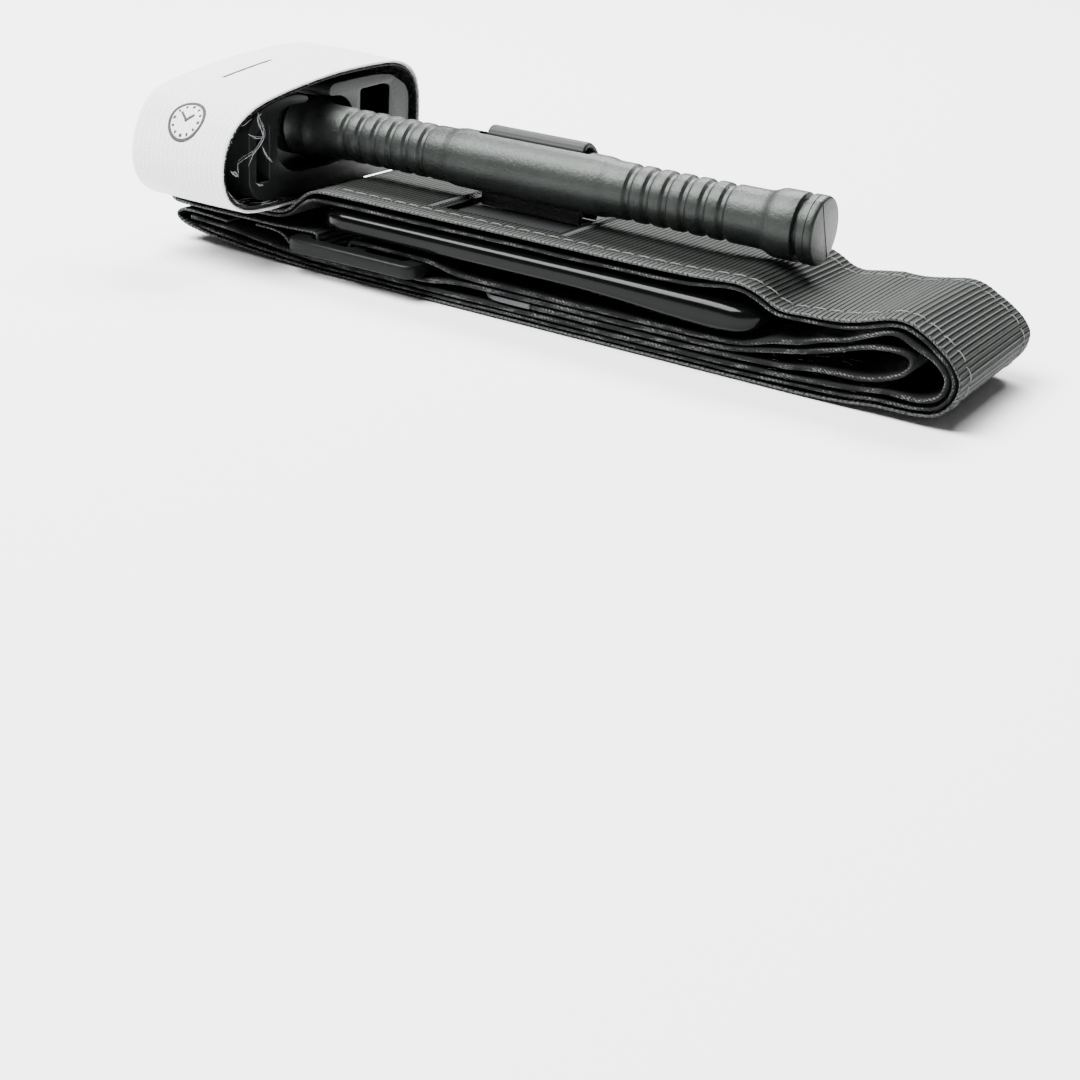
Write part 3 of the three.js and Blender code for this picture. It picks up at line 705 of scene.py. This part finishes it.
def rib(s, w):
    """Rounded ribs with narrow valleys right to the selvedge; the seams pull the face in."""
    u = np.abs(2 * ((s / RIB) % 1.0) - 1)
    h = -0.27 * u ** 2.4
    fade = 1 - 0.75 * smoothstep(np.abs(w), BAND / 2 - 0.7, BAND / 2 - 0.2)
    seam = -0.16 * np.exp(-((np.abs(w) - 14.6) / 0.5) ** 2)
    weave = 0.03 * np.sin(w * 2 * math.pi / 1.9 + 2.0 * np.sin(s / 5.0))
    return h * fade + seam + weave * (1 - u)


def cross(run, x, first=True, after=0):
    """Index where a run passes x."""
    P = run[0]
    sgn = np.sign(P[:, 0] - x)
    hits = [i for i in range(after, len(P) - 1) if sgn[i] != sgn[i + 1]]
    return hits[0] if first else hits[-1]


def apex(run):
    return int(np.argmax(run[0][:, 0]))


def split(run, x_up, x_low):
    """Indices where the fold piece starts above and ends below, next to its outermost point."""
    P, a = run[0], apex(run)
    up = max(i for i in range(a) if P[i, 0] <= x_up)
    low = min(i for i in range(a, len(P)) if P[i, 0] <= x_low)
    return up, low


def fold_blend(o):
    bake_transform(o)


# Outer ply. Its fold piece starts and ends in a valley between two ribs.
up, low = split(R_OUT, 20.0, 20.0)
up -= up % 5
low -= low % 5
S_out = R_OUT[1]
nw_out = 40
sec_w = section(BAND, 0.6, nw_out)[:nw_out, 0]
ja, jb = int(np.argmin(abs(sec_w + 11.2))), int(np.argmin(abs(sec_w - 11.2)))
P_out = R_OUT[0]
top_range = [i for i in range(up) if P_out[i, 1] > 12]
ia = next(i for i in top_range if P_out[i, 0] > -76.5)
ib = next(i for i in top_range if P_out[i, 0] > -49.7)
me = strip("sheath_outer_top_run", R_OUT, 0, up, 0.6, BAND, nw_out, out=rib, warp=drape, hole=(ia, ib, ja, jb), caps=(True, False))
link("sheath_outer_top_run", me, M_OUTER, "main", ["sheath_outer_top"])
me = strip("sheath_outer_fold", R_OUT, up, low, 0.6, BAND, nw_out, out=rib, warp=drape, caps=(False, False))
o = link("sheath_outer_fold", me, M_OUTER, None)
fold_blend(o)
me = strip("sheath_outer_bottom_run", R_OUT, low, len(P_out) - 1, 0.6, BAND, nw_out, out=rib, caps=(False, True))
link("sheath_outer_bottom_run", me, M_OUTER, "lower_band", ["sheath_outer_bottom"])


def three(name, run, t, mat, tops, bottoms, x_split, seed, nw=20):
    u, l = split(run, x_split, x_split)
    f = wobble(run[0], seed)
    n = len(run[0]) - 1
    me = strip(name + "_upper", run, 0, u, t, BAND, nw, out=f, inn=lambda s, w: -f(s, w), warp=drape, caps=(True, False))
    link(name + "_upper", me, mat, "main", tops)
    me = strip(name + "_fold", run, u, l, t, BAND, nw, out=f, inn=lambda s, w: -f(s, w), warp=drape, caps=(False, False))
    fold_blend(link(name + "_fold", me, mat, None))
    me = strip(name + "_lower", run, l, n, t, BAND, nw, out=f, inn=lambda s, w: -f(s, w), warp=drape, caps=(False, True))
    link(name + "_lower", me, mat, "lower_band", bottoms)


three("sheath_inner", R_INN, 0.6, M_INNER, ["sheath_inner_top"], ["sheath_inner_bottom"], 20.0, 11)
three("band", R_BAND, 0.9, M_INNER, ["band_upper_run"], ["band_lower_run"], 20.0, 12)
# The tail stays folded on the upper half, so it is one piece.
f_tail = wobble(R_TAIL[0], 13)
me = strip("tail", R_TAIL, 0, len(R_TAIL[0]) - 1, 0.9, BAND, 20, out=f_tail, inn=lambda s, w: -f_tail(s, w), warp=drape)
link("tail", me, M_INNER, "main", ["tail_upper_run", "tail_lower_run"])

# ------------------------------------------------------------------ seams: single stitches


def stitches(i0, i1, y, pitch=3.3, length=2.75, base=0.27):
    """Stitches on the outer ply's face between two stations of its run."""
    P, S, N = R_OUT
    parts = []
    s = S[i0] + 0.4
    while s + length < S[i1]:
        L = length * (1 + rng.uniform(-0.08, 0.08))
        q = np.linspace(s, s + L, 9)
        x, z = np.interp(q, S, P[:, 0]), np.interp(q, S, P[:, 1])
        nx, nz = np.interp(q, S, N[:, 0]), np.interp(q, S, N[:, 1])
        u = np.linspace(-1, 1, 9)
        lift = base + 0.11 * (1 - u ** 4) - 0.2 * np.abs(u) ** 6
        yy = y + rng.uniform(-0.05, 0.05) + 0.06 * u
        pts = np.column_stack([x + nx * lift, np.full(9, 0.0) + yy, z + nz * lift])
        parts.append((pts, 0.088 * (1 - 0.5 * np.abs(u) ** 4)))
        s += pitch
    V, F = tube_mesh(parts)
    return drape(V), F


i_start = next(i for i in top_range if P_out[i, 0] > -100)
for side, y in (("front", -14.6), ("back", 14.6)):
    V, F = stitches(i_start, up, y)
    link(f"seam_{side}_top", build_mesh("seam", V, F), M_THREAD, "main", [f"edge_seam_{side}_top"])
    V, F = stitches(up, low, y)
    fold_blend(link(f"seam_{side}_fold", build_mesh("seam", V, F), M_THREAD, None, [f"edge_seam_{side}_bottom"]))

# ------------------------------------------------------------------ bar tacks
for name, x0, x1 in (("clip_side", -79.6, -78.0), ("fold_side", -48.2, -46.6)):
    parts = []
    for k, y in enumerate(np.arange(-12.8, 12.9, 0.52)):
        a, b = (x0, x1) if k % 2 else (x1, x0)
        u = np.linspace(0, 1, 6)
        pts = np.column_stack([a + (b - a) * u, y + 0.5 * u, 17.06 + 0.16 * np.sin(math.pi * u)])
        parts.append((pts, 0.12))
    V, F = tube_mesh(parts)
    link(f"bar_tack_{name}", build_mesh("tack", V, F), M_THREAD_DARK, "main", [f"sheath_bar_tack_{name}"])

# ------------------------------------------------------------------ tension ribbon
for name, x0, x1, node in (("clip_side", -101.5, -76.9, "tension_ribbon_clip_side"),
                           ("fold_side", -49.2, -22.0, "tension_ribbon_fold_side")):
    run_ = path([(x0, 15.9), ((x0 + x1) / 2, 15.9), (x1, 15.9)], 0.4)
    me = strip(name, run_, 0, len(run_[0]) - 1, 0.6, 25, 14)
    link(f"ribbon_{name}", me, M_RIBBON, "main", [node])
# The two lengths meet under the rod, across the sheath's window.
run_ = path([(-76.9, 15.75), (-70, 15.7), (-63, 15.68), (-56, 15.7), (-49.2, 15.75)], 0.4)
me = strip("ribbon_under", run_, 0, len(run_[0]) - 1, 0.35, 22.2, 14)
link("ribbon_under_window", me, M_RIBBON, "main")

loop_path = [
    (0, 16.2), (0, 20), (0, 28.6), (0, 30.3), (0.6, 31.6), (2.4, 31.75), (4.3, 30.6),
    (5.9, 28.9), (6.85, 26.6), (6.95, 24.2), (6.9, 20), (6.3, 17.8), (5.8, 16.2)]
run_ = path(loop_path, 0.3)


def pinch(V):
    """The ribbon narrows a little where it passes the slot and spreads below it."""
    V = V.copy()
    z = V[:, 2]
    k = 1 - 0.05 * smoothstep(z, 22, 27)
    V[:, 0] = -63.1 + (V[:, 0] + 63.1) * k
    V[:, 1] += 0.25 * np.sin(V[:, 0] / 2.6) * smoothstep(z, 19, 17)
    return V


me = strip("ribbon_loop", run_, 0, len(run_[0]) - 1, 1.05, 24, 16, plane="YZ", w0=-63.1, warp=pinch)
link("ribbon_loop", me, M_RIBBON, "windlass", ["tension_ribbon_loop"])

# ------------------------------------------------------------------ tail tip tab
h = BAND / 2
me = prism("tab", rounded([(-50.4, -h), (-50.4, h), (-63.5, h), (-63.5, -h)], [0.6, 0.6, 9, 9]), 3.25, 4.25, "XY")
o = link("tip_tab", me, M_TAB, "main", ["tail_tip_tab"])
bevel(o, 0.3, 2)

# ------------------------------------------------------------------ stabilization plate


def plate_mesh():
    """A lofted boat-shaped plate: rounded edges along both sides and a round nose."""
    x0, x1, h = -103.5, -1.9, 20.2
    xs = np.unique(np.r_[np.linspace(x0, x0 + 9, 26), np.linspace(x0 + 9, -18, 40), np.linspace(-18, x1, 60)])
    zb = np.interp(xs, [x0, x0 + 0.3, x0 + 1.2, x0 + 3, -95, -40, -30, -20, -12.6, -9.7, -6.6, -4.7, -3.4, -2.4, x1],
                   [10.6, 9.7, 9.05, 8.95, 8.95, 8.95, 8.4, 7.6, 7.25, 7.35, 7.7, 8.1, 8.7, 9.6, 11.2])
    zt = np.interp(xs, [x0, x0 + 1.0, x0 + 3.2, -97, -17, -13.4, -10.4, -7.9, -5.2, -3.6, -2.5, x1],
                   [10.8, 12.4, 13.9, 14.4, 14.4, 14.4, 14.3, 14.1, 13.9, 13.5, 12.9, 11.8])
    k = np.exp(-0.5 * (np.arange(-4, 5) / 1.2) ** 2)
    k /= k.sum()
    pad = lambda v: np.r_[[v[0]] * 4, v, [v[-1]] * 4]
    zb, zt = np.convolve(pad(zb), k, "valid"), np.convolve(pad(zt), k, "valid")
    d1, d0 = np.clip(x1 - xs, 0, 15), np.clip(xs - x0, 0, 8)
    half = np.minimum(h - 6 + np.sqrt(np.maximum(6 ** 2 - (6 - np.minimum(d1, 6)) ** 2, 0)),
                      h - 8 + np.sqrt(np.maximum(8 ** 2 - (8 - d0) ** 2, 0)))
    half = np.maximum(half, 3.0)
    V, ring = [], 44
    for x, b, t, w in zip(xs, zb, zt, half):
        mid, hz = (b + t) / 2, max((t - b) / 2, 0.05)
        for j in range(ring):
            a = 2 * math.pi * j / ring
            c, s = math.cos(a), math.sin(a)
            e = 0.30   # rounded rectangle section
            yy = w * math.copysign(abs(c) ** e, c)
            zz = mid + hz * math.copysign(abs(s) ** 0.55, s)
            V.append((x, yy, zz))
    F = []
    n = len(xs)
    for i in range(n - 1):
        for j in range(ring):
            j2 = (j + 1) % ring
            F.append((i * ring + j, i * ring + j2, (i + 1) * ring + j2, (i + 1) * ring + j))
    F += [tuple(range(ring)), tuple((n - 1) * ring + j for j in range(ring))]
    return build_mesh("plate", V, F, angle=60)


link("plate", plate_mesh(), M_GLOSS, "main", ["stabilization_plate"])

# ------------------------------------------------------------------ windlass rod


PART = 2 * math.pi * 31 / 96      # the mould's parting plane, turned a little from upright


def rod_mesh():
    half, R, r, B = 63.1, 6.49, 5.5, 5.9
    one = [(0.0, 0.0), (0.0, 5.9), (0.06, 6.08), (0.2, 6.27), (0.42, 6.41), (0.75, R), (1.42, R),
           (1.48, 6.34), (1.60, 6.34), (1.66, R), (2.75, R), (2.93, 6.42), (3.02, 6.2), (3.08, 5.4),
           (3.2, 5.25), (4.0, 5.25), (4.14, 5.4), (4.20, 6.2), (4.30, 6.42), (4.5, R),
           (7.4, R), (8.6, 6.45), (9.3, 6.3), (10.0, 5.98), (10.7, 5.7), (11.5, 5.55), (12.6, r), (16.2, r)]
    for i in range(6):
        s = 18 + i * 4
        one += [(s - 0.35, r), (s, r - 0.07), (s + 0.3, r - 0.32), (s + 0.6, r - 0.55), (s + 0.95, r - 0.6),
                (s + 1.3, r - 0.55), (s + 1.6, r - 0.32), (s + 1.9, r - 0.07), (s + 2.25, r)]
    one += [(43.5, r), (44.4, 5.56), (45.2, 5.75), (46.2, B), (50, B)]
    prof = [(-half + s, q) for s, q in one] + [(half - s, q) for s, q in reversed(one)]
    seg, V, F = 96, [], []
    for s, q in prof[1:-1]:
        for k in range(seg):
            a = 2 * math.pi * k / seg
            # the mould's parting line, a fine ridge along the top and bottom
            d = min(abs((a - PART + math.pi) % (2 * math.pi) - math.pi), abs((a - PART) % (2 * math.pi) - math.pi))
            qq = q + (0.04 if d < 0.02 else 0.0)
            V.append((-63.1 + s, qq * math.cos(a), 24.8 + qq * math.sin(a)))
    n = len(prof) - 2
    for i in range(n - 1):
        for k in range(seg):
            k2 = (k + 1) % seg
            F.append((i * seg + k, i * seg + k2, (i + 1) * seg + k2, (i + 1) * seg + k))
    for end, i in ((0, 0), (1, n - 1)):
        c = len(V)
        V.append((-63.1 + (half if end else -half), 0, 24.8))
        for k in range(seg):
            F.append((i * seg + k, i * seg + (k + 1) % seg, c))
    return build_mesh("rod", V, F, smooth=False)


o = link("rod", rod_mesh(), M_ROD, "windlass", ["windlass_rod"])
slot_pts = rounded([(-76.3, -1.1), (-49.9, -1.1), (-49.9, 1.1), (-76.3, 1.1)], 1.05, 6)
cut(o, [prism("slot", slot_pts, 15, 35, "XY")])
o.data.polygons.foreach_set("use_smooth", [True] * len(o.data.polygons))
sharpen(o.data, 28)

# Mould line across the rod's end face, a hair above it, and the shallow step beside it.
cp, sp = math.cos(PART), math.sin(PART)
parts = [(np.column_stack([np.full(12, 0.0), np.linspace(6.0 * cp, -6.0 * cp, 12), np.linspace(24.8 + 6.0 * sp, 24.8 - 6.0 * sp, 12)]), 0.085),
         (np.column_stack([np.linspace(-2.95, -0.1, 8), np.full(8, 6.5 * cp + 0.1), np.full(8, 24.8 + 6.5 * sp)]), 0.06)]
V, F = tube_mesh(parts, 5)
link("rod_end_line", build_mesh("line", V, F), M_BUCKLE, "windlass")

# ------------------------------------------------------------------ clip
section_pts = rounded(
    [(-21.0, 13.0), (22.5, 13.0), (26.0, 14.2), (27.6, 17.0), (27.6, 29.0), (26.4, 31.4), (21.0, 34.3),
     (15.5, 34.9), (8.0, 34.8), (0.4, 34.5), (-0.9, 33.6), (-0.9, 32.0), (2.6, 31.9), (5.0, 31.0),
     (6.8, 29.2), (7.6, 26.6), (7.6, 23.4), (6.8, 20.4), (5.0, 18.5), (2.6, 17.6), (-11.0, 17.6),
     (-14.0, 18.4), (-16.6, 20.2), (-17.6, 22.6), (-17.8, 28.2), (-17.2, 30.6), (-14.0, 31.75),
     (-9.0, 31.65), (-7.6, 32.2), (-8.2, 33.1), (-12.0, 33.75), (-17.0, 33.35), (-22.0, 32.1),
     (-24.9, 30.6), (-26.4, 28.2), (-26.4, 17.0), (-24.6, 14.2)],
    1.3, 5)
o = link("clip", prism("clip", section_pts, -137.5, -114.2, "YZ"), M_CLIP, "main", ["windlass_clip"])
back = rounded([(9.8, 18.2), (20.2, 18.2), (20.2, 32.1), (18.2, 32.6), (9.8, 32.3)], 0.8, 4)
front = rounded([(-24.2, 17.2), (-20.2, 17.2), (-20.2, 28.8), (-22.4, 28.4), (-24.2, 27.2)], 0.7, 4)
cuts = []
for pts in (back, front):
    cuts += [prism("pocket", pts, -139, -127.05, "YZ"), prism("pocket", pts, -124.65, -113, "YZ")]
cut(o, cuts)
bevel(o, 0.35, 3, 40)

me = prism("pad", rounded([(-136.5, 17.4), (-115.2, 17.4), (-115.2, 28.6), (-136.5, 28.6)], 1.5), 27.85, 28.35, "XZ")
layer = me.uv_layers.new(name="fab")
for lp in me.loops:
    v = me.vertices[lp.vertex_index].co
    layer.data[lp.index].uv = (v.x * 1000, v.z * 1000)
link("hook_pad", me, M_HOOK, "main", ["clip_hook_pad"])
parts = []
for ix, x in enumerate(np.arange(-135.9, -115.6, 1.15)):
    for iz, z in enumerate(np.arange(18.0, 28.3, 1.15)):
        xx = x + (0.5 if iz % 2 else 0)
        if xx > -115.6:
            continue
        j = rng.uniform(-0.15, 0.15, 2)
        u = np.linspace(0, 1, 5)
        pts = np.column_stack([xx + j[0] + 0.25 * u ** 3, 28.3 + 0.5 * np.sin(u * 2.2) / 0.9, z + j[1] - 0.1 * u])
        parts.append((pts, 0.11))
V, F = tube_mesh(parts, 5)
link("hook_pad_hooks", build_mesh("hooks", V, F), M_HOOK, "main")

# ------------------------------------------------------------------ securing strap
anchor = [
    (-7, 11.6), (-21.5, 11.6), (-28.4, 12.0), (-33.2, 14.5), (-35.05, 17.8), (-35.4, 21.6),
    (-34.3, 26.1), (-31.2, 29.9), (-26.5, 32.2), (-22.35, 33.2)]
flap = [
    (-18, 33.95), (-13.6, 34.6), (-2.2, 36.1), (6.6, 36.6), (15.4, 36.75), (22.9, 36.4),
    (28.1, 33.9), (30.0, 30.9), (30.5, 27.2), (30.5, 22), (30.5, 15.5)]
STRAP_W, STRAP_X = 25.35, -138.6 + 25.35 / 2
R_STRAP = path(anchor + flap, 0.25)


def strap_warp(V):
    """The strap's outer edge stands a little higher than the inner one, and its front bulge is softer."""
    V = V.copy()
    x, y, z = V[:, 0].copy(), V[:, 1].copy(), V[:, 2].copy()
    u = np.clip((-113.25 - x) / 25.35, 0, 1)
    V[:, 2] = z + 1.15 * u * smoothstep(z, 24, 33)
    V[:, 1] = y + 0.9 * u * smoothstep(y, -27, -34) - 0.35 * np.sin(np.pi * u) * smoothstep(y, -24, -33)
    V[:, 2] += (0.22 * np.sin(np.pi * u) + 0.7 * (1 - u)) * smoothstep(z, 30, 35)
    return V


def along_s(run, y):
    """Distance along the strap where it passes y on the way over the top."""
    P = run[0]
    i = next(i for i in range(len(P)) if P[i, 1] > 28 and P[i, 0] > y)
    return i


i_h0, i_h1 = along_s(R_STRAP, -26.0), along_s(R_STRAP, -18.7)
lin_off = 0.3 + 0.2 + 0.25
P, S, N = R_STRAP
R_LIN = (P - N * lin_off, S, N)      # the right-hand side is the inside


def peel_blend(o):
    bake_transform(o)


n_s = len(P) - 1
fuzz = lambda s, w: 0.03 * np.sin(s * 1.7 + w) * np.sin(w * 1.3)
for part, a, b, body in (("anchor", 0, i_h0, "main"), ("crease", i_h0, i_h1, None), ("flap", i_h1, n_s, "strap_flap")):
    caps = (part == "anchor", part == "flap")
    me = strip(f"strap_{part}_face", R_STRAP, a, b, 0.6, STRAP_W, 36, plane="YZ", w0=STRAP_X, out=fuzz, warp=strap_warp, caps=caps)
    o = link(f"strap_{part}_white", me, M_WHITE, body, [f"strap_{part}_face"] if body else ())
    if not body:
        peel_blend(o)
    me = strip(f"strap_{part}_lining", R_LIN, a, b, 0.5, STRAP_W - 0.5, 30, plane="YZ", w0=STRAP_X, warp=strap_warp, caps=caps)
    o = link(f"strap_{part}_hooks", me, M_HOOK, body, [f"strap_{part}_lining"] if body else ())
    if not body:
        peel_blend(o)


# Printed mark: a plain clock face and an empty line to write on, laid on the strap.
def on_strap(s, w, lift=0.315):
    """A point on the strap's white face."""
    x = np.interp(s, S, P[:, 0]) + np.interp(s, S, N[:, 0]) * lift
    z = np.interp(s, S, P[:, 1]) + np.interp(s, S, N[:, 1]) * lift
    return np.column_stack([np.full(np.shape(s), STRAP_X) + w, x, z])


def mark(name, bands, body):
    """Flat printed bars; each is (start, end) on the strap in mm, half-width and steps."""
    V, F = [], []
    for pts, hw, closed in bands:
        pts = np.asarray(pts, float)
        t = np.roll(pts, -1, 0) - np.roll(pts, 1, 0) if closed else np.gradient(pts, axis=0)
        t /= np.linalg.norm(t, axis=1)[:, None]
        nn = np.column_stack([-t[:, 1], t[:, 0]])
        a, b = pts + nn * hw, pts - nn * hw
        base, n = len(V), len(pts)
        for q, lift in ((a, 0.345), (b, 0.345), (b, 0.25), (a, 0.25)):
            V += list(strap_warp(on_strap(q[:, 0], q[:, 1], lift)))
        for i in range(n if closed else n - 1):
            j = (i + 1) % n
            for r0 in range(4):
                r1 = (r0 + 1) % 4
                F.append((base + r0 * n + i, base + r0 * n + j, base + r1 * n + j, base + r1 * n + i))
        if not closed:
            for i in (0, n - 1):
                F.append(tuple(base + r * n + i for r in range(4)))
    link(name, build_mesh(name, V, F), M_PRINT, body)


def line(p0, p1, n=24):
    return np.column_stack([np.linspace(p0[0], p1[0], n), np.linspace(p0[1], p1[1], n)])


s_mid, R_C = S[i_h0] - 7.0, 4.1
dial = lambda a, r: (s_mid + r * math.cos(a), 0.3 + r * math.sin(a))
bars = [([dial(a, R_C) for a in np.linspace(0, 2 * math.pi, 56, endpoint=False)], 0.34, True)]
bars += [(line(dial(q * math.pi / 6, R_C - 1.25), dial(q * math.pi / 6, R_C - 0.62), 4), 0.24 if q % 3 else 0.34, False) for q in range(12)]
bars += [(line(dial(0.72, -0.4), dial(0.72, 2.0), 8), 0.32, False), (line(dial(-0.95, -0.4), dial(-0.95, 2.6), 8), 0.26, False)]
mark("time_clock", bars, "main")
s_a, s_b = S[i_h1] + 1.5, S[i_h1] + 17
mark("time_line", [(line((s_a, -3.3), (s_b, -3.3), 60), 0.36, False)], "strap_flap")

# Loose fibres along the white strap's near and far edges.
parts_main, parts_flap = [], []
for k in range(150):
    i = rng.integers(4, n_s - 4)
    if i_h0 - 2 < i < i_h1 + 2:
        continue
    side = 1 if rng.random() < 0.7 else -1
    w = side * STRAP_W / 2
    L = rng.uniform(0.5, 1.3)
    u = np.linspace(0, 1, 5)
    drift = rng.uniform(-0.8, 0.8)
    rise = rng.uniform(-0.5, 0.4)
    s_ = S[i] + drift * u
    pts = on_strap(s_, w * np.ones(5) + side * (L * 0.45 * u - 0.1), 0.0)
    pts[:, 2] += rise * u ** 2 * 0.5
    (parts_main if i < i_h0 else parts_flap).append((strap_warp(pts), 0.028))
for name, parts, body in (("strap_fibres_anchor", parts_main, "main"), ("strap_fibres_flap", parts_flap, "strap_flap")):
    V, F = tube_mesh(parts, 4)
    link(name, build_mesh(name, V, F), M_LINT, body)

# Lint caught in the hook tape and in the folds of the band.
strands = [
    [(-113.5, -24.6, 31.8), (-113.5, -24.0, 30.4), (-113.5, -22.9, 28.6), (-113.5, -22.6, 27.3), (-113.5, -23.5, 25.8), (-113.5, -26.0, 23.8), (-113.5, -28.5, 23.3), (-113.5, -30.9, 22.4), (-113.5, -30.4, 20.3)],
    [(-113.65, -23.1, 31.4), (-113.65, -24.4, 30.8), (-113.65, -23.8, 29.5), (-113.65, -23.1, 28.2), (-113.65, -22.6, 26.5)],
    [(-113.8, -21.8, 26.9), (-113.8, -23.3, 24.9), (-113.8, -25.8, 23.6), (-113.8, -27.1, 21.3)],
    [(-113.9, -27.2, 27.8), (-113.9, -24.8, 26.7), (-113.9, -22.3, 26.5)],
    [(-113.5, -32.9, 21.5), (-113.5, -32.2, 20.6), (-113.5, -31.0, 19.9), (-113.5, -30.5, 20.3)],
    [(-113.65, -32.3, 20.9), (-113.65, -31.1, 20.7), (-113.65, -30.3, 19.5)],
    [(-113.8, -31.2, 14.9), (-113.8, -29.7, 13.8), (-113.8, -27.8, 12.9)],
    [(-113.9, -31.4, 14.0), (-113.9, -29.9, 13.2), (-113.9, -27.5, 12.9)],
    [(-113.65, -23.1, 24.9), (-113.65, -21.9, 22.6), (-113.65, -20.0, 21.1)],
    [(-113.9, -24.9, 17.6), (-113.9, -23.6, 16.7), (-113.9, -22.4, 16.7)]]
parts = []
for pts in strands:
    pts = np.array(pts)
    q = np.linspace(0, len(pts) - 1, 6 * len(pts))
    sm = np.column_stack([np.interp(q, np.arange(len(pts)), pts[:, c]) for c in range(3)])
    for _ in range(5):
        sm[1:-1] = (sm[:-2] + 2 * sm[1:-1] + sm[2:]) / 4
    for _ in range(3):
        wob = np.cumsum(rng.normal(0, 0.05, (len(sm), 3)), axis=0) * np.array([0.5, 1, 1])
        parts.append((sm + wob * np.sin(np.linspace(0, math.pi, len(sm)))[:, None], 0.024 * np.sin(np.linspace(0.35, math.pi - 0.35, len(sm)))))
for k in range(26):
    i = rng.integers(int(i_h0 * 0.15), i_h0 - 4)
    u = np.linspace(0, 1, 9)
    s_ = S[i] + rng.uniform(2, 9) * (u - 0.5) + rng.uniform(-1, 1) * np.sin(u * 5)
    w = STRAP_W / 2 - rng.uniform(0.3, 6) + rng.uniform(-2.2, 2.2) * np.sin(u * rng.uniform(2, 5))
    pts = on_strap(np.clip(s_, S[0], S[i_h0]), np.minimum(w, STRAP_W / 2 - 0.2), -1.12 - 0.25 * rng.random())
    parts.append((strap_warp(pts), 0.030))
V, F = tube_mesh(parts, 4)
link("lint_strap", build_mesh("lint", V, F), M_LINT, "main")


def fold_lint(run, i0, i1, t, count, seed):
    r = np.random.default_rng(seed)
    P, S_, N = run
    out = []
    for _ in range(count):
        i = r.integers(i0, i1)
        u = np.linspace(0, 1, 6)
        L = r.uniform(0.6, 2.6)
        s_ = S_[i] + L * (u - 0.5)
        off = -t / 2 - 0.03 - r.uniform(0.02, 0.12) * np.sin(math.pi * u)
        x = np.interp(s_, S_, P[:, 0]) + np.interp(s_, S_, N[:, 0]) * off
        z = np.interp(s_, S_, P[:, 1]) + np.interp(s_, S_, N[:, 1]) * off
        y = -BAND / 2 + r.uniform(1.2, 9.0) + r.uniform(-0.9, 0.9) * u
        out.append((drape(np.column_stack([x, y, z])), 0.017))
    return out


for name, run_, t_, xs, seed in (("inner", R_INN, 0.6, 20, 3), ("band", R_BAND, 0.9, 20, 4), ("tail", R_TAIL, 0.9, 19, 5)):
    u_, l_ = split(run_, xs, xs)
    i0 = max(0, u_ - int(24 / 0.4))
    V, F = tube_mesh(fold_lint(run_, i0, u_ - 3, t_, 12, seed), 4)
    link(f"lint_{name}", build_mesh("lint", V, F), M_LINT, "main")
    V, F = tube_mesh(fold_lint(run_, l_ + 3, l_ + int(20 / 0.4), t_, 8, seed + 10), 4)
    link(f"lint_{name}_lower", build_mesh("lint", V, F), M_LINT, "main" if name == "tail" else "lower_band")

# ------------------------------------------------------------------ routing buckle
h, s_, x0 = 23.5, 20.0, -107.5
o = link("buckle", prism("buckle", rounded([(x0, -h), (x0 + 32, -h), (x0 + 32, h), (x0, h)], 3.0), 4.5, 7.3, "XY"),
         M_BUCKLE, "main", ["routing_buckle"])
cut(o, [prism("slot", rounded([(x0 + a, -s_), (x0 + a + 10, -s_), (x0 + a + 10, s_), (x0 + a, s_)], 1.0, 4), 3, 9, "XY") for a in (4, 18)])
bevel(o, 0.55, 3, 40)

# ------------------------------------------------------------------ seams of the lower half
i_end = max(i for i in range(low, len(P_out)) if P_out[i, 0] > -104)
for side, y in (("front", -14.6), ("back", 14.6)):
    V, F = stitches(low, i_end, y, base=0.15)
    link(f"seam_{side}_lower", build_mesh("seam", V, F), M_THREAD, "lower_band")

# ------------------------------------------------------------------ floor and light
me = bpy.data.meshes.new("floor")
me.from_pydata([(-2.5, -2.5, -0.0002), (2.5, -2.5, -0.0002), (2.5, 2.5, -0.0002), (-2.5, 2.5, -0.0002)], [], [(0, 1, 2, 3)])
floor = bpy.data.objects.new("floor", me)
bpy.context.scene.collection.objects.link(floor)
k = Nodes("floor_pale")
k.set("Base Color", (0.92, 0.92, 0.92))
k.set("Roughness", 0.75)
k.set("Specular IOR Level", 0.2)
me.materials.append(k.mat)

world = bpy.data.worlds.new("world")
bpy.context.scene.world = world
world.use_nodes = True
bg = world.node_tree.nodes["Background"]
bg.inputs[0].default_value = (1.0, 1.0, 1.0, 1.0)
bg.inputs[1].default_value = 0.17


def area(name, loc, target, size, power, size_y=None):
    d = bpy.data.lights.new(name, "AREA")
    d.energy = power
    d.shape = "RECTANGLE"
    d.size, d.size_y = size, size_y or size
    o = bpy.data.objects.new(name, d)
    o.location = loc
    o.rotation_euler = (Vector(target) - Vector(loc)).to_track_quat("-Z", "Y").to_euler()
    bpy.context.scene.collection.objects.link(o)


area("key", (-0.42, -0.34, 1.0), (0, 0, 0.02), 0.75, 62.0)
area("back", (-0.18, 0.72, 0.85), (0, 0, 0.02), 0.9, 34.0, 0.45)
